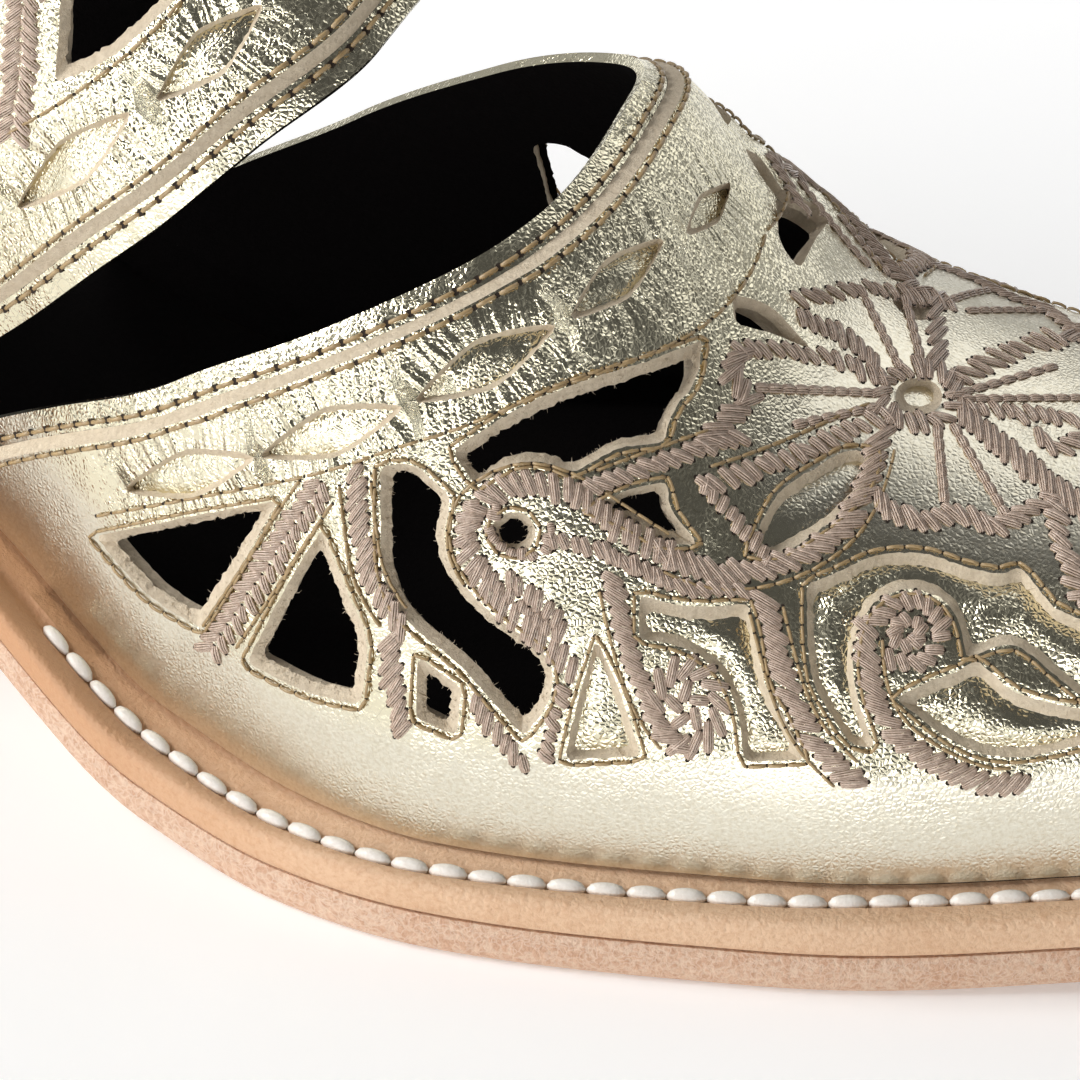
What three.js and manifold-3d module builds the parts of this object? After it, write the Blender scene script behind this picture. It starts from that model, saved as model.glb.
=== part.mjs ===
// A slingback mule, the right shoe of a pair: a closed-toe vamp with cut-work, an instep cuff that
// runs on round the heel as a sling, a welted leather sole and a stacked heel.
// Millimetres. x runs from heel to toe, y to the wearer's left, z up from the floor.
import * as THREE from 'three';
import { mergeVertices } from 'three/addons/utils/BufferGeometryUtils.js';
import Module from 'manifold-3d';

const wasm = await Module();
wasm.setup();

// Driving dimensions
const HALF_LAST = 130;
const GAP = 0.3;
const OUTSOLE = 4.5;
const WELT = 3.5;
const WELT_UNDER = 6;
const WELT_END = -76;
const WELT_LIP = 0.7;
const INSOLE = 3.4;
const LEATHER = 1.3;
const UNDERLAY = 1.5;
const EDGE_STRIP = 3;
const UNDERLAY_FOOT = 82;
const HEEL_BREAST = -79;
const HEEL_REACH = 1;
const HEEL_LIFTS = 4;
const LIFT = 5.8;
const TOP_PIECE = 6.5;
const HEEL_TAPER = 0.14;
const HEEL_LEAN = 4;

// Fineness of the meshes
const OVERLAP = 6;
const MERGE = 1e-3;
const PLACE_STEP = 0.004;
const TURN_STEP = 0.6;
const GIRTH = [0, 10, 20, 30, 40, 49, 58, 66, 74, 82, 89.6];
const CUT_WORK_STEPS = 11;
const TOE_STEPS = 6;
const CUFF_STEPS = 20;
const CUFF_BANDS = 3;
const OUTLINE_STEPS = 54;
const HEEL_STEPS = 12;

// The last: half widths of its outer and inner side, height of its ridge over the feather line,
// roundness of the section, and how far the sole stands out beyond it
const LAST = [
  { x: -130, outer: 0, inner: 0, ridge: 60, power: 2.2, reach: 1.5 },
  { x: -112, outer: 24, inner: 23, ridge: 78, power: 2.2, reach: 1.5 },
  { x: -75, outer: 27, inner: 25, ridge: 84, power: 2.1, reach: 2 },
  { x: -45, outer: 24, inner: 21, ridge: 81, power: 2, reach: 6.5 },
  { x: -15, outer: 36.5, inner: 26.5, ridge: 77.5, power: 1.95, reach: 7 },
  { x: 15, outer: 45.5, inner: 34, ridge: 63, power: 1.85, reach: 5.5 },
  { x: 45, outer: 42, inner: 39, ridge: 35.5, power: 2.15, reach: 5.5 },
  { x: 75, outer: 33.5, inner: 36, ridge: 28.5, power: 2.35, reach: 5.5 },
  { x: 103, outer: 23.5, inner: 25.5, ridge: 26.5, power: 2.35, reach: 5.5 },
  { x: 121, outer: 11.5, inner: 12.5, ridge: 19, power: 2.4, reach: 5.5 },
  { x: 130, outer: 0, inner: 0, ridge: 0, power: 2.4, reach: 5 },
];

// Underside of the sole over the floor: heel seat, waist, flat tread and toe spring
const PROFILE = [
  { x: -140, floor: 42.6 },
  { x: -130, floor: 42 },
  { x: -100, floor: 40 },
  { x: -75, floor: 34.5 },
  { x: -60, floor: 27 },
  { x: -45, floor: 17.5 },
  { x: -30, floor: 8.6 },
  { x: -15, floor: 2.2 },
  { x: 0, floor: 0 },
  { x: 52, floor: 0 },
  { x: 90, floor: 2.2 },
  { x: 115, floor: 5.8 },
  { x: 130, floor: 9 },
  { x: 140, floor: 11.5 },
];

// Edge of the outsole, from the tread up: how far inside its outline and how high
const SOLE_EDGE = [
  { inset: 1.2, rise: 0 },
  { inset: 0.3, rise: 0.7 },
  { inset: 0, rise: 1.6 },
  { inset: 0, rise: OUTSOLE },
];

// Edge of the insole beyond the feather line: inside the welt in front, out to the edge on the heel seat
const INSOLE_EDGE = [
  { x: -130, out: 0.4 },
  { x: -86, out: 0.4 },
  { x: -80, out: -WELT_UNDER - GAP },
  { x: 130, out: -WELT_UNDER - GAP },
];

// Topline of the vamp and front edge of its underlay: x at each angle down from the ridge
const VAMP_EDGES = [
  { angle: 0, rim: 21.5, front: 94 },
  { angle: 15, rim: 20.5, front: 93 },
  { angle: 30, rim: 15.5, front: 91 },
  { angle: 45, rim: 4, front: 88 },
  { angle: 60, rim: -13, front: 85 },
  { angle: 75, rim: -30, front: 82 },
  { angle: 90, rim: -46, front: 80 },
];

// Cuff, from the middle of the instep (part 0) round to the back of the heel (part 1): its lower
// edge as x and angle down from the ridge, and its collar as x and height over the floor
const CUFF = [
  { part: 0, lowerX: 4.5, lowerAngle: 0, collarX: -35, collarZ: 102 },
  { part: 0.08, lowerX: 0.4, lowerAngle: 21, collarX: -36, collarZ: 99 },
  { part: 0.16, lowerX: -9.7, lowerAngle: 40, collarX: -39.5, collarZ: 97 },
  { part: 0.26, lowerX: -24.8, lowerAngle: 60, collarX: -46, collarZ: 96.5 },
  { part: 0.36, lowerX: -37, lowerAngle: 75, collarX: -54, collarZ: 97 },
  { part: 0.44, lowerX: -50, lowerAngle: 89.6, collarX: -61, collarZ: 98 },
  { part: 0.56, lowerX: -72, lowerAngle: 89.6, collarX: -74, collarZ: 100 },
  { part: 0.64, lowerX: -84, lowerAngle: 77, collarX: -86, collarZ: 102 },
  { part: 0.76, lowerX: -102, lowerAngle: 68, collarX: -103, collarZ: 104 },
  { part: 0.88, lowerX: -121, lowerAngle: 63, collarX: -119, collarZ: 105.5 },
  { part: 1, lowerX: -130, lowerAngle: 62, collarX: -130, collarZ: 106.5 },
];

// Cut-work on each side: corners as x and angle down from the ridge. Windows are open to the inside.
const VAMP_WINDOWS = {
  rearTriangle: [[-20.5, 78], [-4.5, 66], [-10.5, 79]],
  postTriangle: [[2, 66], [5.5, 69], [6.5, 72], [6, 77], [-3.5, 79]],
  smallPocket: [[14, 72], [16, 73], [16, 76], [14, 75]],
  scroll: [
    [8.5, 57], [12.5, 56], [14, 57.5], [13, 60], [14.5, 63], [21, 66], [24.5, 69], [23, 73],
    [13, 66], [9, 61],
  ],
  crescent: [[15, 52], [19, 46], [25.5, 38], [31.5, 26], [32, 29], [31, 36], [25, 46], [19.5, 49.5]],
  comma: [[28, 47], [32, 42], [33, 44.5], [35, 45], [31.5, 47]],
  eyelet: [[18.8, 56], [19.6, 54.5], [21.2, 54.5], [22, 56], [21.2, 57.8], [19.6, 57.8]],
  throatLeaf: [[35, 15], [35.5, 9], [38.5, 7], [42, 7.5], [38.5, 10.5]],
};
const CUFF_WINDOWS = {
  front: [[-28, 45], [-20, 32], [-15.5, 21], [-27, 20], [-32, 31]],
  rear: [[-34.5, 54], [-37.5, 37], [-49, 49], [-45, 63]],
};

// Inlays: cut through the outer leather only, so that the underlay shows
const VAMP_INLAYS = {
  leaf: [[41, 41], [43, 31.5], [48, 23], [48.5, 26], [44.5, 37]],
  arch: [[33, 56.5], [37, 55], [41, 52], [40.5, 56.5], [36, 57]],
  wedge: [[43.5, 62], [46.8, 68], [44, 68.5]],
  recess: [
    [47, 45], [51, 39], [56, 36], [63, 36.5], [66, 38], [71.5, 43.5], [72, 53], [67, 46], [63, 46],
    [60.5, 42.5], [56, 38], [52, 42], [50.8, 48], [53, 64], [49, 57],
  ],
  crescent: [[57.5, 58], [61.5, 54.5], [66, 58], [72.5, 60], [72.5, 62], [66.5, 65], [61, 62]],
  diamond1: [[-18.5, 72], [-13, 67], [-6.5, 63.5], [-11.5, 69]],
  diamond2: [[-4, 61], [1, 56], [8, 51.5], [4, 57]],
  diamond3: [[10.5, 49], [14, 43], [20, 36.5], [17, 43.5]],
  diamond4: [[22, 32.5], [23.5, 27], [27, 18], [26, 25.5]],
  diamond5: [[28.5, 11.5], [28.5, 6.5], [30, 1], [30, 6]],
};
const CUFF_INLAYS = {
  diamond1: [[-32.5, 60], [-28, 52], [-21.5, 44], [-25, 51.5]],
  diamond2: [[-18.5, 40], [-16, 32.5], [-10.5, 26], [-13, 33]],
};

const { clamp, degToRad, lerp, radToDeg } = THREE.MathUtils;

// Smooth curve through a table's rows that never overshoots them
function curve(rows, from, to) {
  const xs = rows.map((row) => row[from]);
  const ys = rows.map((row) => row[to]);
  const end = xs.length - 1;
  const width = (k) => xs[k + 1] - xs[k];
  const rise = (k) => (ys[k + 1] - ys[k]) / width(k);
  const slopeAt = (k) => {
    if (k === 0 || k === end) {
      return rise(Math.min(k, end - 1));
    }
    if (rise(k - 1) * rise(k) <= 0) {
      return 0;
    }
    const before = 2 * width(k) + width(k - 1);
    const after = width(k) + 2 * width(k - 1);
    return (before + after) / (before / rise(k - 1) + after / rise(k));
  };
  const slopes = xs.map((_, k) => slopeAt(k));
  return (x) => {
    const found = xs.findIndex((edge, k) => k > 0 && x <= edge);
    const k = found < 0 ? end - 1 : found - 1;
    const h = width(k);
    const t = clamp((x - xs[k]) / h, 0, 1);
    const s = 1 - t;
    return s * s * (1 + 2 * t) * ys[k] + t * t * (1 + 2 * s) * ys[k + 1]
      + s * s * t * h * slopes[k] - t * t * s * h * slopes[k + 1];
  };
}

// Place along the last, -1 at the heel and 1 at the toe: equal steps bunch up at its round ends
const placeOf = (x) => Math.asin(clamp(x / HALF_LAST, -1, 1)) * 2 / Math.PI;
const xOf = (place) => HALF_LAST * Math.sin(place * Math.PI / 2);
const placed = (rows) => rows.map((row) => ({ ...row, place: placeOf(row.x) }));

const last = {
  outer: curve(placed(LAST), 'place', 'outer'),
  inner: curve(placed(LAST), 'place', 'inner'),
  ridge: curve(placed(LAST), 'place', 'ridge'),
  power: curve(placed(LAST), 'place', 'power'),
  reach: curve(placed(LAST), 'place', 'reach'),
};
const floorUnder = curve(PROFILE, 'x', 'floor');
const WELT_TOP = OUTSOLE + GAP + WELT;
const FEATHER = WELT_TOP + GAP;

// Point of the last's surface: a place along it and an angle down from the ridge, below 0 on the outer side
function skin(place, angle) {
  const x = xOf(place);
  const exponent = 2 / last.power(place);
  const half = angle < 0 ? -last.outer(place) : last.inner(place);
  const turn = Math.min(degToRad(Math.abs(angle)), Math.PI / 2);
  const y = half * Math.sin(turn) ** exponent;
  const z = floorUnder(x) + FEATHER + last.ridge(place) * Math.max(Math.cos(turn), 0) ** exponent;
  return new THREE.Vector3(x, y, z);
}

function skinNormal(place, angle) {
  const along = skin(place + PLACE_STEP, angle).sub(skin(place - PLACE_STEP, angle));
  const across = skin(place, angle + TURN_STEP).sub(skin(place, angle - TURN_STEP));
  return along.cross(across).normalize();
}

// Angle down from the ridge at which the surface has a height over the floor
function angleAtHeight(place, z) {
  const share = (z - floorUnder(xOf(place)) - FEATHER) / last.ridge(place);
  return radToDeg(Math.acos(Math.min(share, 1) ** (last.power(place) / 2)));
}

function geometryOf(points, triangles) {
  const geometry = new THREE.BufferGeometry().setFromPoints(points);
  geometry.setIndex(triangles.flat());
  return geometry;
}

// Two triangles of the quad a b c d
const quad = (a, b, c, d) => [[a, b, c], [a, c, d]];

// Closed geometry with its repeated points merged, its empty faces dropped and its faces turned outwards
function closed(points, triangles) {
  const merged = mergeVertices(geometryOf(points, triangles), MERGE);
  const index = merged.getIndex().array;
  const corner = (k) => new THREE.Vector3().fromBufferAttribute(merged.getAttribute('position'), k);
  const kept = [];
  let volume = 0;
  for (let k = 0; k < index.length; k += 3) {
    const [a, b, c] = [index[k], index[k + 1], index[k + 2]];
    if (a !== b && b !== c && c !== a) {
      kept.push([a, b, c]);
      volume += corner(a).dot(corner(b).cross(corner(c)));
    }
  }
  merged.setIndex(kept.flatMap(([a, b, c]) => (volume < 0 ? [a, c, b] : [a, b, c])));
  return merged;
}

// Normals of a mesh's points, where points that coincide agree
function sharedNormals(points, faces) {
  const key = (v) => v.toArray().map((n) => Math.fround(n).toFixed(2)).join();
  const merged = mergeVertices(geometryOf(points, faces), MERGE);
  merged.computeVertexNormals();
  const position = merged.getAttribute('position');
  const normal = merged.getAttribute('normal');
  const found = new Map();
  for (let k = 0; k < position.count; k += 1) {
    const place = new THREE.Vector3().fromBufferAttribute(position, k);
    found.set(key(place), new THREE.Vector3().fromBufferAttribute(normal, k));
  }
  return points.map((p) => found.get(key(p)) ?? new THREE.Vector3(0, 0, 1));
}

// Layer of leather: the solid between two depths under a grid of points. Rows run round the girth and
// columns along the shoe. A looped grid closes on itself from its last row to its first.
function layer(grid, depth, thickness, looped = false) {
  const rows = grid.length;
  const columns = grid[0].length;
  const points = grid.flat();
  const under = points.length;
  const bands = looped ? rows : rows - 1;
  const at = (r, c) => (r % rows) * columns + c;
  const faces = [];
  const rim = [];
  const wall = (a, b) => rim.push(...quad(a, b, b + under, a + under));
  for (let r = 0; r < bands; r += 1) {
    for (let c = 0; c < columns - 1; c += 1) {
      faces.push(...quad(at(r, c), at(r, c + 1), at(r + 1, c + 1), at(r + 1, c)));
    }
    wall(at(r, 0), at(r + 1, 0));
    wall(at(r + 1, columns - 1), at(r, columns - 1));
  }
  for (let c = 0; c < columns - 1 && !looped; c += 1) {
    wall(at(0, c + 1), at(0, c));
    wall(at(rows - 1, c), at(rows - 1, c + 1));
  }
  const normals = sharedNormals(points, faces);
  const sunk = (distance) => points.map((p, k) => p.clone().addScaledVector(normals[k], -distance));
  const lower = faces.map(([a, b, c]) => [a + under, c + under, b + under]);
  return closed([...sunk(depth), ...sunk(depth + thickness)], [...faces, ...lower, ...rim]);
}

// Triangles of a flat outline, wound as the outline is
function capFaces(outline) {
  const area = THREE.ShapeUtils.area(outline);
  return THREE.ShapeUtils.triangulateShape(outline, []).map(([a, b, c]) => {
    const same = THREE.ShapeUtils.area([outline[a], outline[b], outline[c]]) * area > 0;
    return same ? [a, b, c] : [a, c, b];
  });
}

function toManifold(geometry) {
  const vertProperties = Float32Array.from(geometry.getAttribute('position').array);
  const triVerts = Uint32Array.from(geometry.getIndex().array);
  return new wasm.Manifold(new wasm.Mesh({ numProp: 3, vertProperties, triVerts }));
}

function fromManifold(solid) {
  const { vertProperties, triVerts } = solid.getMesh();
  const geometry = new THREE.BufferGeometry();
  geometry.setAttribute('position', new THREE.BufferAttribute(vertProperties, 3));
  geometry.setIndex(new THREE.BufferAttribute(triVerts, 1));
  return geometry;
}

// Prism through the wall with an outline on the last's surface
function punch(outline, side) {
  const edge = outline.map(([x, angle]) => new THREE.Vector2(x, side * angle));
  const seat = edge.map((p) => skin(placeOf(p.x), p.y));
  const normals = edge.map((p) => skinNormal(placeOf(p.x), p.y));
  const level = (height) => seat.map((p, k) => p.clone().addScaledVector(normals[k], height));
  const n = edge.length;
  const top = capFaces(edge);
  const bottom = top.map(([a, b, c]) => [a + n, c + n, b + n]);
  const walls = edge.flatMap((_, k) => quad((k + 1) % n, k, k + n, (k + 1) % n + n));
  return toManifold(closed([...level(OVERLAP), ...level(-OVERLAP)], [...top, ...bottom, ...walls]));
}

// Cuts each outline on both sides
function cutOut(geometry, outlines) {
  let solid = toManifold(geometry);
  for (const outline of outlines) {
    for (const side of [-1, 1]) {
      solid = solid.subtract(punch(outline, side));
    }
  }
  return fromManifold(solid);
}

// Vamp: girth lines at fixed angles run from the topline to the toe
const rimAt = curve(VAMP_EDGES, 'angle', 'rim');
const underlayFrontAt = curve(VAMP_EDGES, 'angle', 'front');
const girthAngles = [...GIRTH.slice(1).reverse().map((angle) => -angle), ...GIRTH];

// Step in x that moves one millimetre square to the topline at an angle
function squareStep(angle) {
  const near = Math.abs(angle);
  const side = Math.sign(angle) || 1;
  const onRim = (turn, ahead = 0) => skin(placeOf(rimAt(turn) + ahead), side * turn);
  const line = onRim(Math.min(near + 1, 90)).sub(onRim(Math.max(near - 1, 0))).normalize();
  const along = onRim(near, 1).sub(onRim(near));
  return 1 / along.cross(line).length();
}

function vampLine(angle) {
  const rim = rimAt(Math.abs(angle));
  const back = rim + EDGE_STRIP * squareStep(angle);
  const front = underlayFrontAt(Math.abs(angle));
  const places = [placeOf(rim)];
  for (let k = 0; k <= CUT_WORK_STEPS; k += 1) {
    places.push(placeOf(lerp(back, front, k / CUT_WORK_STEPS)));
  }
  for (let k = 1; k <= TOE_STEPS; k += 1) {
    places.push(lerp(placeOf(front), 1, k / TOE_STEPS));
  }
  return places.map((place) => skin(place, angle));
}

// The outer leather starts below the edge strip of the underlay, which makes the topline
const underAngles = girthAngles.filter((angle) => Math.abs(angle) <= UNDERLAY_FOOT);
const vampGrid = girthAngles.map((angle) => vampLine(angle).slice(1));
const underGrid = underAngles.map((angle) => vampLine(angle).slice(0, CUT_WORK_STEPS + 2));
const vampOuter = layer(vampGrid, 0, LEATHER);
const vampUnder = layer(underGrid, LEATHER + GAP, UNDERLAY);

// Cuff: lines from its lower edge to its collar, in a loop round the ankle
const cuffRows = CUFF.map((row) => ({
  ...row,
  lower: placeOf(row.lowerX),
  collar: placeOf(row.collarX),
  collarAngle: angleAtHeight(placeOf(row.collarX), row.collarZ),
}));
const cuffEdge = {
  lower: curve(cuffRows, 'part', 'lower'),
  lowerAngle: curve(cuffRows, 'part', 'lowerAngle'),
  collar: curve(cuffRows, 'part', 'collar'),
  collarAngle: curve(cuffRows, 'part', 'collarAngle'),
};

function cuffLine(part, side) {
  const point = (t) => {
    const angle = lerp(cuffEdge.lowerAngle(part), cuffEdge.collarAngle(part), t);
    return skin(lerp(cuffEdge.lower(part), cuffEdge.collar(part), t), side * angle);
  };
  const strip = EDGE_STRIP / (point(0).distanceTo(point(0.5)) + point(0.5).distanceTo(point(1)));
  const cuts = [0];
  for (let k = 0; k <= CUFF_BANDS; k += 1) {
    cuts.push(lerp(strip, 1 - strip, k / CUFF_BANDS));
  }
  return [...cuts, 1].map(point);
}

const cuffGrid = [];
for (let k = 0; k < CUFF_STEPS; k += 1) {
  cuffGrid.push(cuffLine(k / CUFF_STEPS, -1));
}
for (let k = CUFF_STEPS; k > 0; k -= 1) {
  cuffGrid.push(cuffLine(k / CUFF_STEPS, 1));
}
const cuffOuter = layer(cuffGrid.map((line) => line.slice(1, -1)), 0, LEATHER, true);
const cuffUnder = layer(cuffGrid, LEATHER + GAP, UNDERLAY, true);

// Point of the feather line's plan outline, moved outwards
function outlinePoint(place, side, out, rise) {
  const plan = (p) => new THREE.Vector2(xOf(p), side * (side < 0 ? last.outer(p) : last.inner(p)));
  const ahead = plan(Math.min(place + PLACE_STEP, 1));
  const tangent = ahead.sub(plan(Math.max(place - PLACE_STEP, -1))).normalize();
  const tip = Math.abs(place) > 1 - PLACE_STEP / 2;
  const away = tip
    ? new THREE.Vector2(Math.sign(place), 0)
    : new THREE.Vector2(-tangent.y, tangent.x).multiplyScalar(side);
  const p = plan(place).addScaledVector(away, out(place));
  return new THREE.Vector3(p.x, p.y, floorUnder(p.x) + rise);
}

// The whole outline: heel, outer side, toe, inner side
function ring(out, rise) {
  const points = [];
  for (let k = 0; k < OUTLINE_STEPS; k += 1) {
    points.push(outlinePoint(2 * k / OUTLINE_STEPS - 1, -1, out, rise));
  }
  for (let k = 0; k < OUTLINE_STEPS; k += 1) {
    points.push(outlinePoint(1 - 2 * k / OUTLINE_STEPS, 1, out, rise));
  }
  return points;
}

// Solid from rings, lowest first. A ring starts at its tip, and its points k and n - k face each other.
function loft(rings) {
  const n = rings[0].length;
  const faces = [];
  for (let k = 0; k < Math.floor(n / 2); k += 1) {
    const rungs = quad(k, k + 1, n - k - 1, (n - k) % n);
    const lid = (rings.length - 1) * n;
    faces.push(...rungs.map(([a, b, c]) => [a, c, b]));
    faces.push(...rungs.map((corners) => corners.map((corner) => corner + lid)));
  }
  for (let level = 0; level < rings.length - 1; level += 1) {
    for (let k = 0; k < n; k += 1) {
      const [a, b] = [level * n + k, level * n + (k + 1) % n];
      faces.push(...quad(a, b, b + n, a + n));
    }
  }
  return closed(rings.flat(), faces);
}

// Strip round the forepart with a constant profile, from the waist on one side to the other
function sweep(profile, fromX) {
  const first = Math.round((placeOf(fromX) + 1) * OUTLINE_STEPS / 2);
  const rails = profile.map(({ out, rise }) => ring(out, rise).slice(first, 2 * OUTLINE_STEPS - first + 1));
  const n = rails.length;
  const end = (rails[0].length - 1) * n;
  const points = rails[0].flatMap((_, k) => rails.map((rail) => rail[k]));
  const faces = [];
  for (let base = 0; base < end; base += n) {
    for (let m = 0; m < n; m += 1) {
      const next = (m + 1) % n;
      faces.push(...quad(base + m, base + n + m, base + n + next, base + next));
    }
  }
  const section = profile.map(({ out, rise }) => new THREE.Vector2(out(0), rise));
  for (const [a, b, c] of capFaces(section)) {
    faces.push([a, b, c], [a + end, c + end, b + end]);
  }
  return closed(points, faces);
}

const reach = (place) => last.reach(place);
const inside = (depth) => (place) => reach(place) - depth;
const outsole = loft(SOLE_EDGE.map(({ inset, rise }) => ring(inside(inset), rise)));

// Welt: a soft lip and a flat bed for the upper
const welt = sweep([
  { out: () => -WELT_UNDER, rise: OUTSOLE + GAP },
  { out: reach, rise: OUTSOLE + GAP },
  { out: reach, rise: WELT_TOP - WELT_LIP },
  { out: inside(WELT_LIP), rise: WELT_TOP },
  { out: () => -WELT_UNDER, rise: WELT_TOP },
], WELT_END);

const insoleEdge = curve(placed(INSOLE_EDGE), 'place', 'out');
const insoleBase = OUTSOLE + GAP;
const insole = loft([ring(insoleEdge, insoleBase), ring(insoleEdge, insoleBase + INSOLE)]);

// Heel: the outline of the heel seat, drawn in and leaned forward towards the floor
const seatHeight = floorUnder(-HALF_LAST);
const heelMiddle = (HEEL_BREAST - HALF_LAST) / 2;

function heelRing(height, seated = false) {
  const down = 1 - height / seatHeight;
  const drawn = 1 - HEEL_TAPER * down;
  const point = (k, side) => {
    const place = lerp(-1, placeOf(HEEL_BREAST), k / (HEEL_STEPS - 1));
    const p = outlinePoint(place, side, () => HEEL_REACH, 0);
    const x = heelMiddle + (p.x - heelMiddle) * drawn + HEEL_LEAN * down;
    return new THREE.Vector3(x, p.y * drawn, seated ? floorUnder(p.x) - GAP : height);
  };
  const steps = Array.from({ length: HEEL_STEPS }, (_, k) => k);
  const innerSide = steps.slice(1).reverse();
  return [...steps.map((k) => point(k, -1)), ...innerSide.map((k) => point(k, 1))];
}

const leather = (color, roughness, metalness) => new THREE.MeshStandardMaterial({ color, roughness, metalness });
const gold = () => leather(0xc8be9e, 0.35, 0.85);
const welted = () => leather(0xe1b482, 0.6, 0);
const soleLeather = () => leather(0xdcaf91, 0.7, 0);
const heelLeather = () => leather(0xb98a5e, 0.6, 0);
const suede = () => leather(0x14100f, 0.9, 0);
const rubber = () => leather(0x3a2c22, 0.8, 0);

const shoe = new THREE.Group();

function addPiece(name, geometry, material) {
  const piece = new THREE.Mesh(geometry, material);
  piece.name = name;
  shoe.add(piece);
}

const vampWindows = Object.values(VAMP_WINDOWS);
const cuffWindows = Object.values(CUFF_WINDOWS);
addPiece('outsole', outsole, soleLeather());
addPiece('welt', welt, welted());
addPiece('insole', insole, suede());
addPiece('vamp', cutOut(vampOuter, [...vampWindows, ...Object.values(VAMP_INLAYS)]), gold());
addPiece('vamp_underlay', cutOut(vampUnder, vampWindows), gold());
addPiece('cuff', cutOut(cuffOuter, [...cuffWindows, ...Object.values(CUFF_INLAYS)]), gold());
addPiece('cuff_underlay', cutOut(cuffUnder, cuffWindows), gold());

addPiece('heel_top_piece', loft([heelRing(0), heelRing(TOP_PIECE)]), rubber());
for (let k = 0; k < HEEL_LIFTS; k += 1) {
  const base = TOP_PIECE + GAP + k * LIFT;
  addPiece(`heel_lift_${k + 1}`, loft([heelRing(base), heelRing(base + LIFT - GAP)]), heelLeather());
}
const wedgeBase = TOP_PIECE + GAP + HEEL_LIFTS * LIFT;
addPiece('heel_wedge', loft([heelRing(wedgeBase), heelRing(seatHeight, true)]), heelLeather());

// Origin at the middle of the footprint, on the floor
const box = new THREE.Box3().setFromObject(shoe);
const middle = box.getCenter(new THREE.Vector3());
shoe.position.set(-middle.x, -middle.y, -box.min.z);

export default shoe;
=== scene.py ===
"""Looks of a slingback mule: pale gold cut-work leather with embroidery over a welted leather sole.

Sizes are in millimetres on the shoe's own last, which is repeated here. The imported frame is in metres.
Outlines of the cut-work and routes of the thread are pixels of the 1080 x 1080 photograph,
dropped on the last along the camera's rays. The inner side of the shoe is their mirror image.
"""

import math

import bpy
import numpy as np
from mathutils import Matrix, Vector, kdtree
from mathutils.geometry import delaunay_2d_cdt


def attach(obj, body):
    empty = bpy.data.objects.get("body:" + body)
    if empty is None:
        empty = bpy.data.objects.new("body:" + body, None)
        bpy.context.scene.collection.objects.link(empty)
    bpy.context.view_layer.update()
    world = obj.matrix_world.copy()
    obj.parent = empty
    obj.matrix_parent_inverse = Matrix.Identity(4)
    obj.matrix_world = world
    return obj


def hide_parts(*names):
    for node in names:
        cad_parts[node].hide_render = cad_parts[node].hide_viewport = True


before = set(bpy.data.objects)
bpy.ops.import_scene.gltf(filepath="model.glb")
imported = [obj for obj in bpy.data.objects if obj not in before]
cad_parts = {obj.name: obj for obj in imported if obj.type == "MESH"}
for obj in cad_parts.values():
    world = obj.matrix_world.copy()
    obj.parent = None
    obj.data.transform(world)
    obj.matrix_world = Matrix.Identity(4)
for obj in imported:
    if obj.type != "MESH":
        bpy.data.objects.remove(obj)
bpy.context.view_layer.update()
random = np.random.default_rng(7)

MM = 0.001
HALF_LAST = 130.0
SHIFT = np.array([-1.75, 3.25, 0.0])  # from the last's own origin to the frame's
OUTSOLE = 4.5
GAP = 0.3
WELT = 3.5
WELT_UNDER = 6.0
WELT_END = -76.0
WELT_TOP = OUTSOLE + GAP + WELT
FEATHER = WELT_TOP + GAP
LEATHER = 1.2
UNDERLAY = 1.6
UNDERLAY_DEPTH = 1.25

# The last: half widths, ridge over the feather line, roundness, and reach of the sole beyond it
LAST_COLUMNS = ("x", "outer", "inner", "ridge", "power", "reach")
LAST = [
    (-130, 0, 0, 60, 2.2, 1.5),
    (-112, 24, 23, 78, 2.2, 1.5),
    (-75, 27, 25, 84, 2.1, 2),
    (-45, 24, 21, 81, 2, 6.5),
    (-15, 36.5, 26.5, 77.5, 1.95, 7),
    (15, 45.5, 34, 63, 1.85, 5.5),
    (45, 42, 39, 35.5, 2.15, 5.5),
    (75, 33.5, 36, 28.5, 2.35, 5.5),
    (103, 23.5, 25.5, 26.5, 2.35, 5.5),
    (121, 11.5, 12.5, 19, 2.4, 5.5),
    (130, 0, 0, 0, 2.4, 5),
]
PROFILE_X = (-140, -130, -100, -75, -60, -45, -30, -15, 0, 52, 90, 115, 130, 140)
PROFILE_FLOOR = (42.6, 42, 40, 34.5, 27, 17.5, 8.6, 2.2, 0, 0, 2.2, 5.8, 9, 11.5)
RIM_ANGLE = (0, 15, 30, 45, 60, 75, 90)
RIM_X = (21.5, 20.5, 15.6, 4, -12.3, -30, -46)
UNDERLAY_FRONT = 92.0  # x where the underlay ends inside the toe
UNDERLAY_FOOT = 84.0  # degrees down from the ridge where its sides end
FEATHER_ANGLE = 89.6  # degrees down from the ridge, where the upper meets the sole

# Cuff from the instep (part 0) to the back of the heel (part 1)
CUFF_COLUMNS = ("part", "lower_x", "lower_angle", "collar_x", "collar_z")
CUFF = [
    (0, 4.5, 0, -35, 102),
    (0.08, 0.4, 21, -36, 99),
    (0.16, -9.7, 40, -39.5, 97),
    (0.26, -24.8, 60, -46, 96.5),
    (0.36, -37, 75, -54, 97),
    (0.44, -50, FEATHER_ANGLE, -61, 98),
    (0.56, -72, FEATHER_ANGLE, -74, 100),
    (0.64, -84, 77, -86, 102),
    (0.76, -102, 68, -103, 104),
    (0.88, -121, 63, -119, 105.5),
    (1, -130, 62, -130, 106.5),
]


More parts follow.
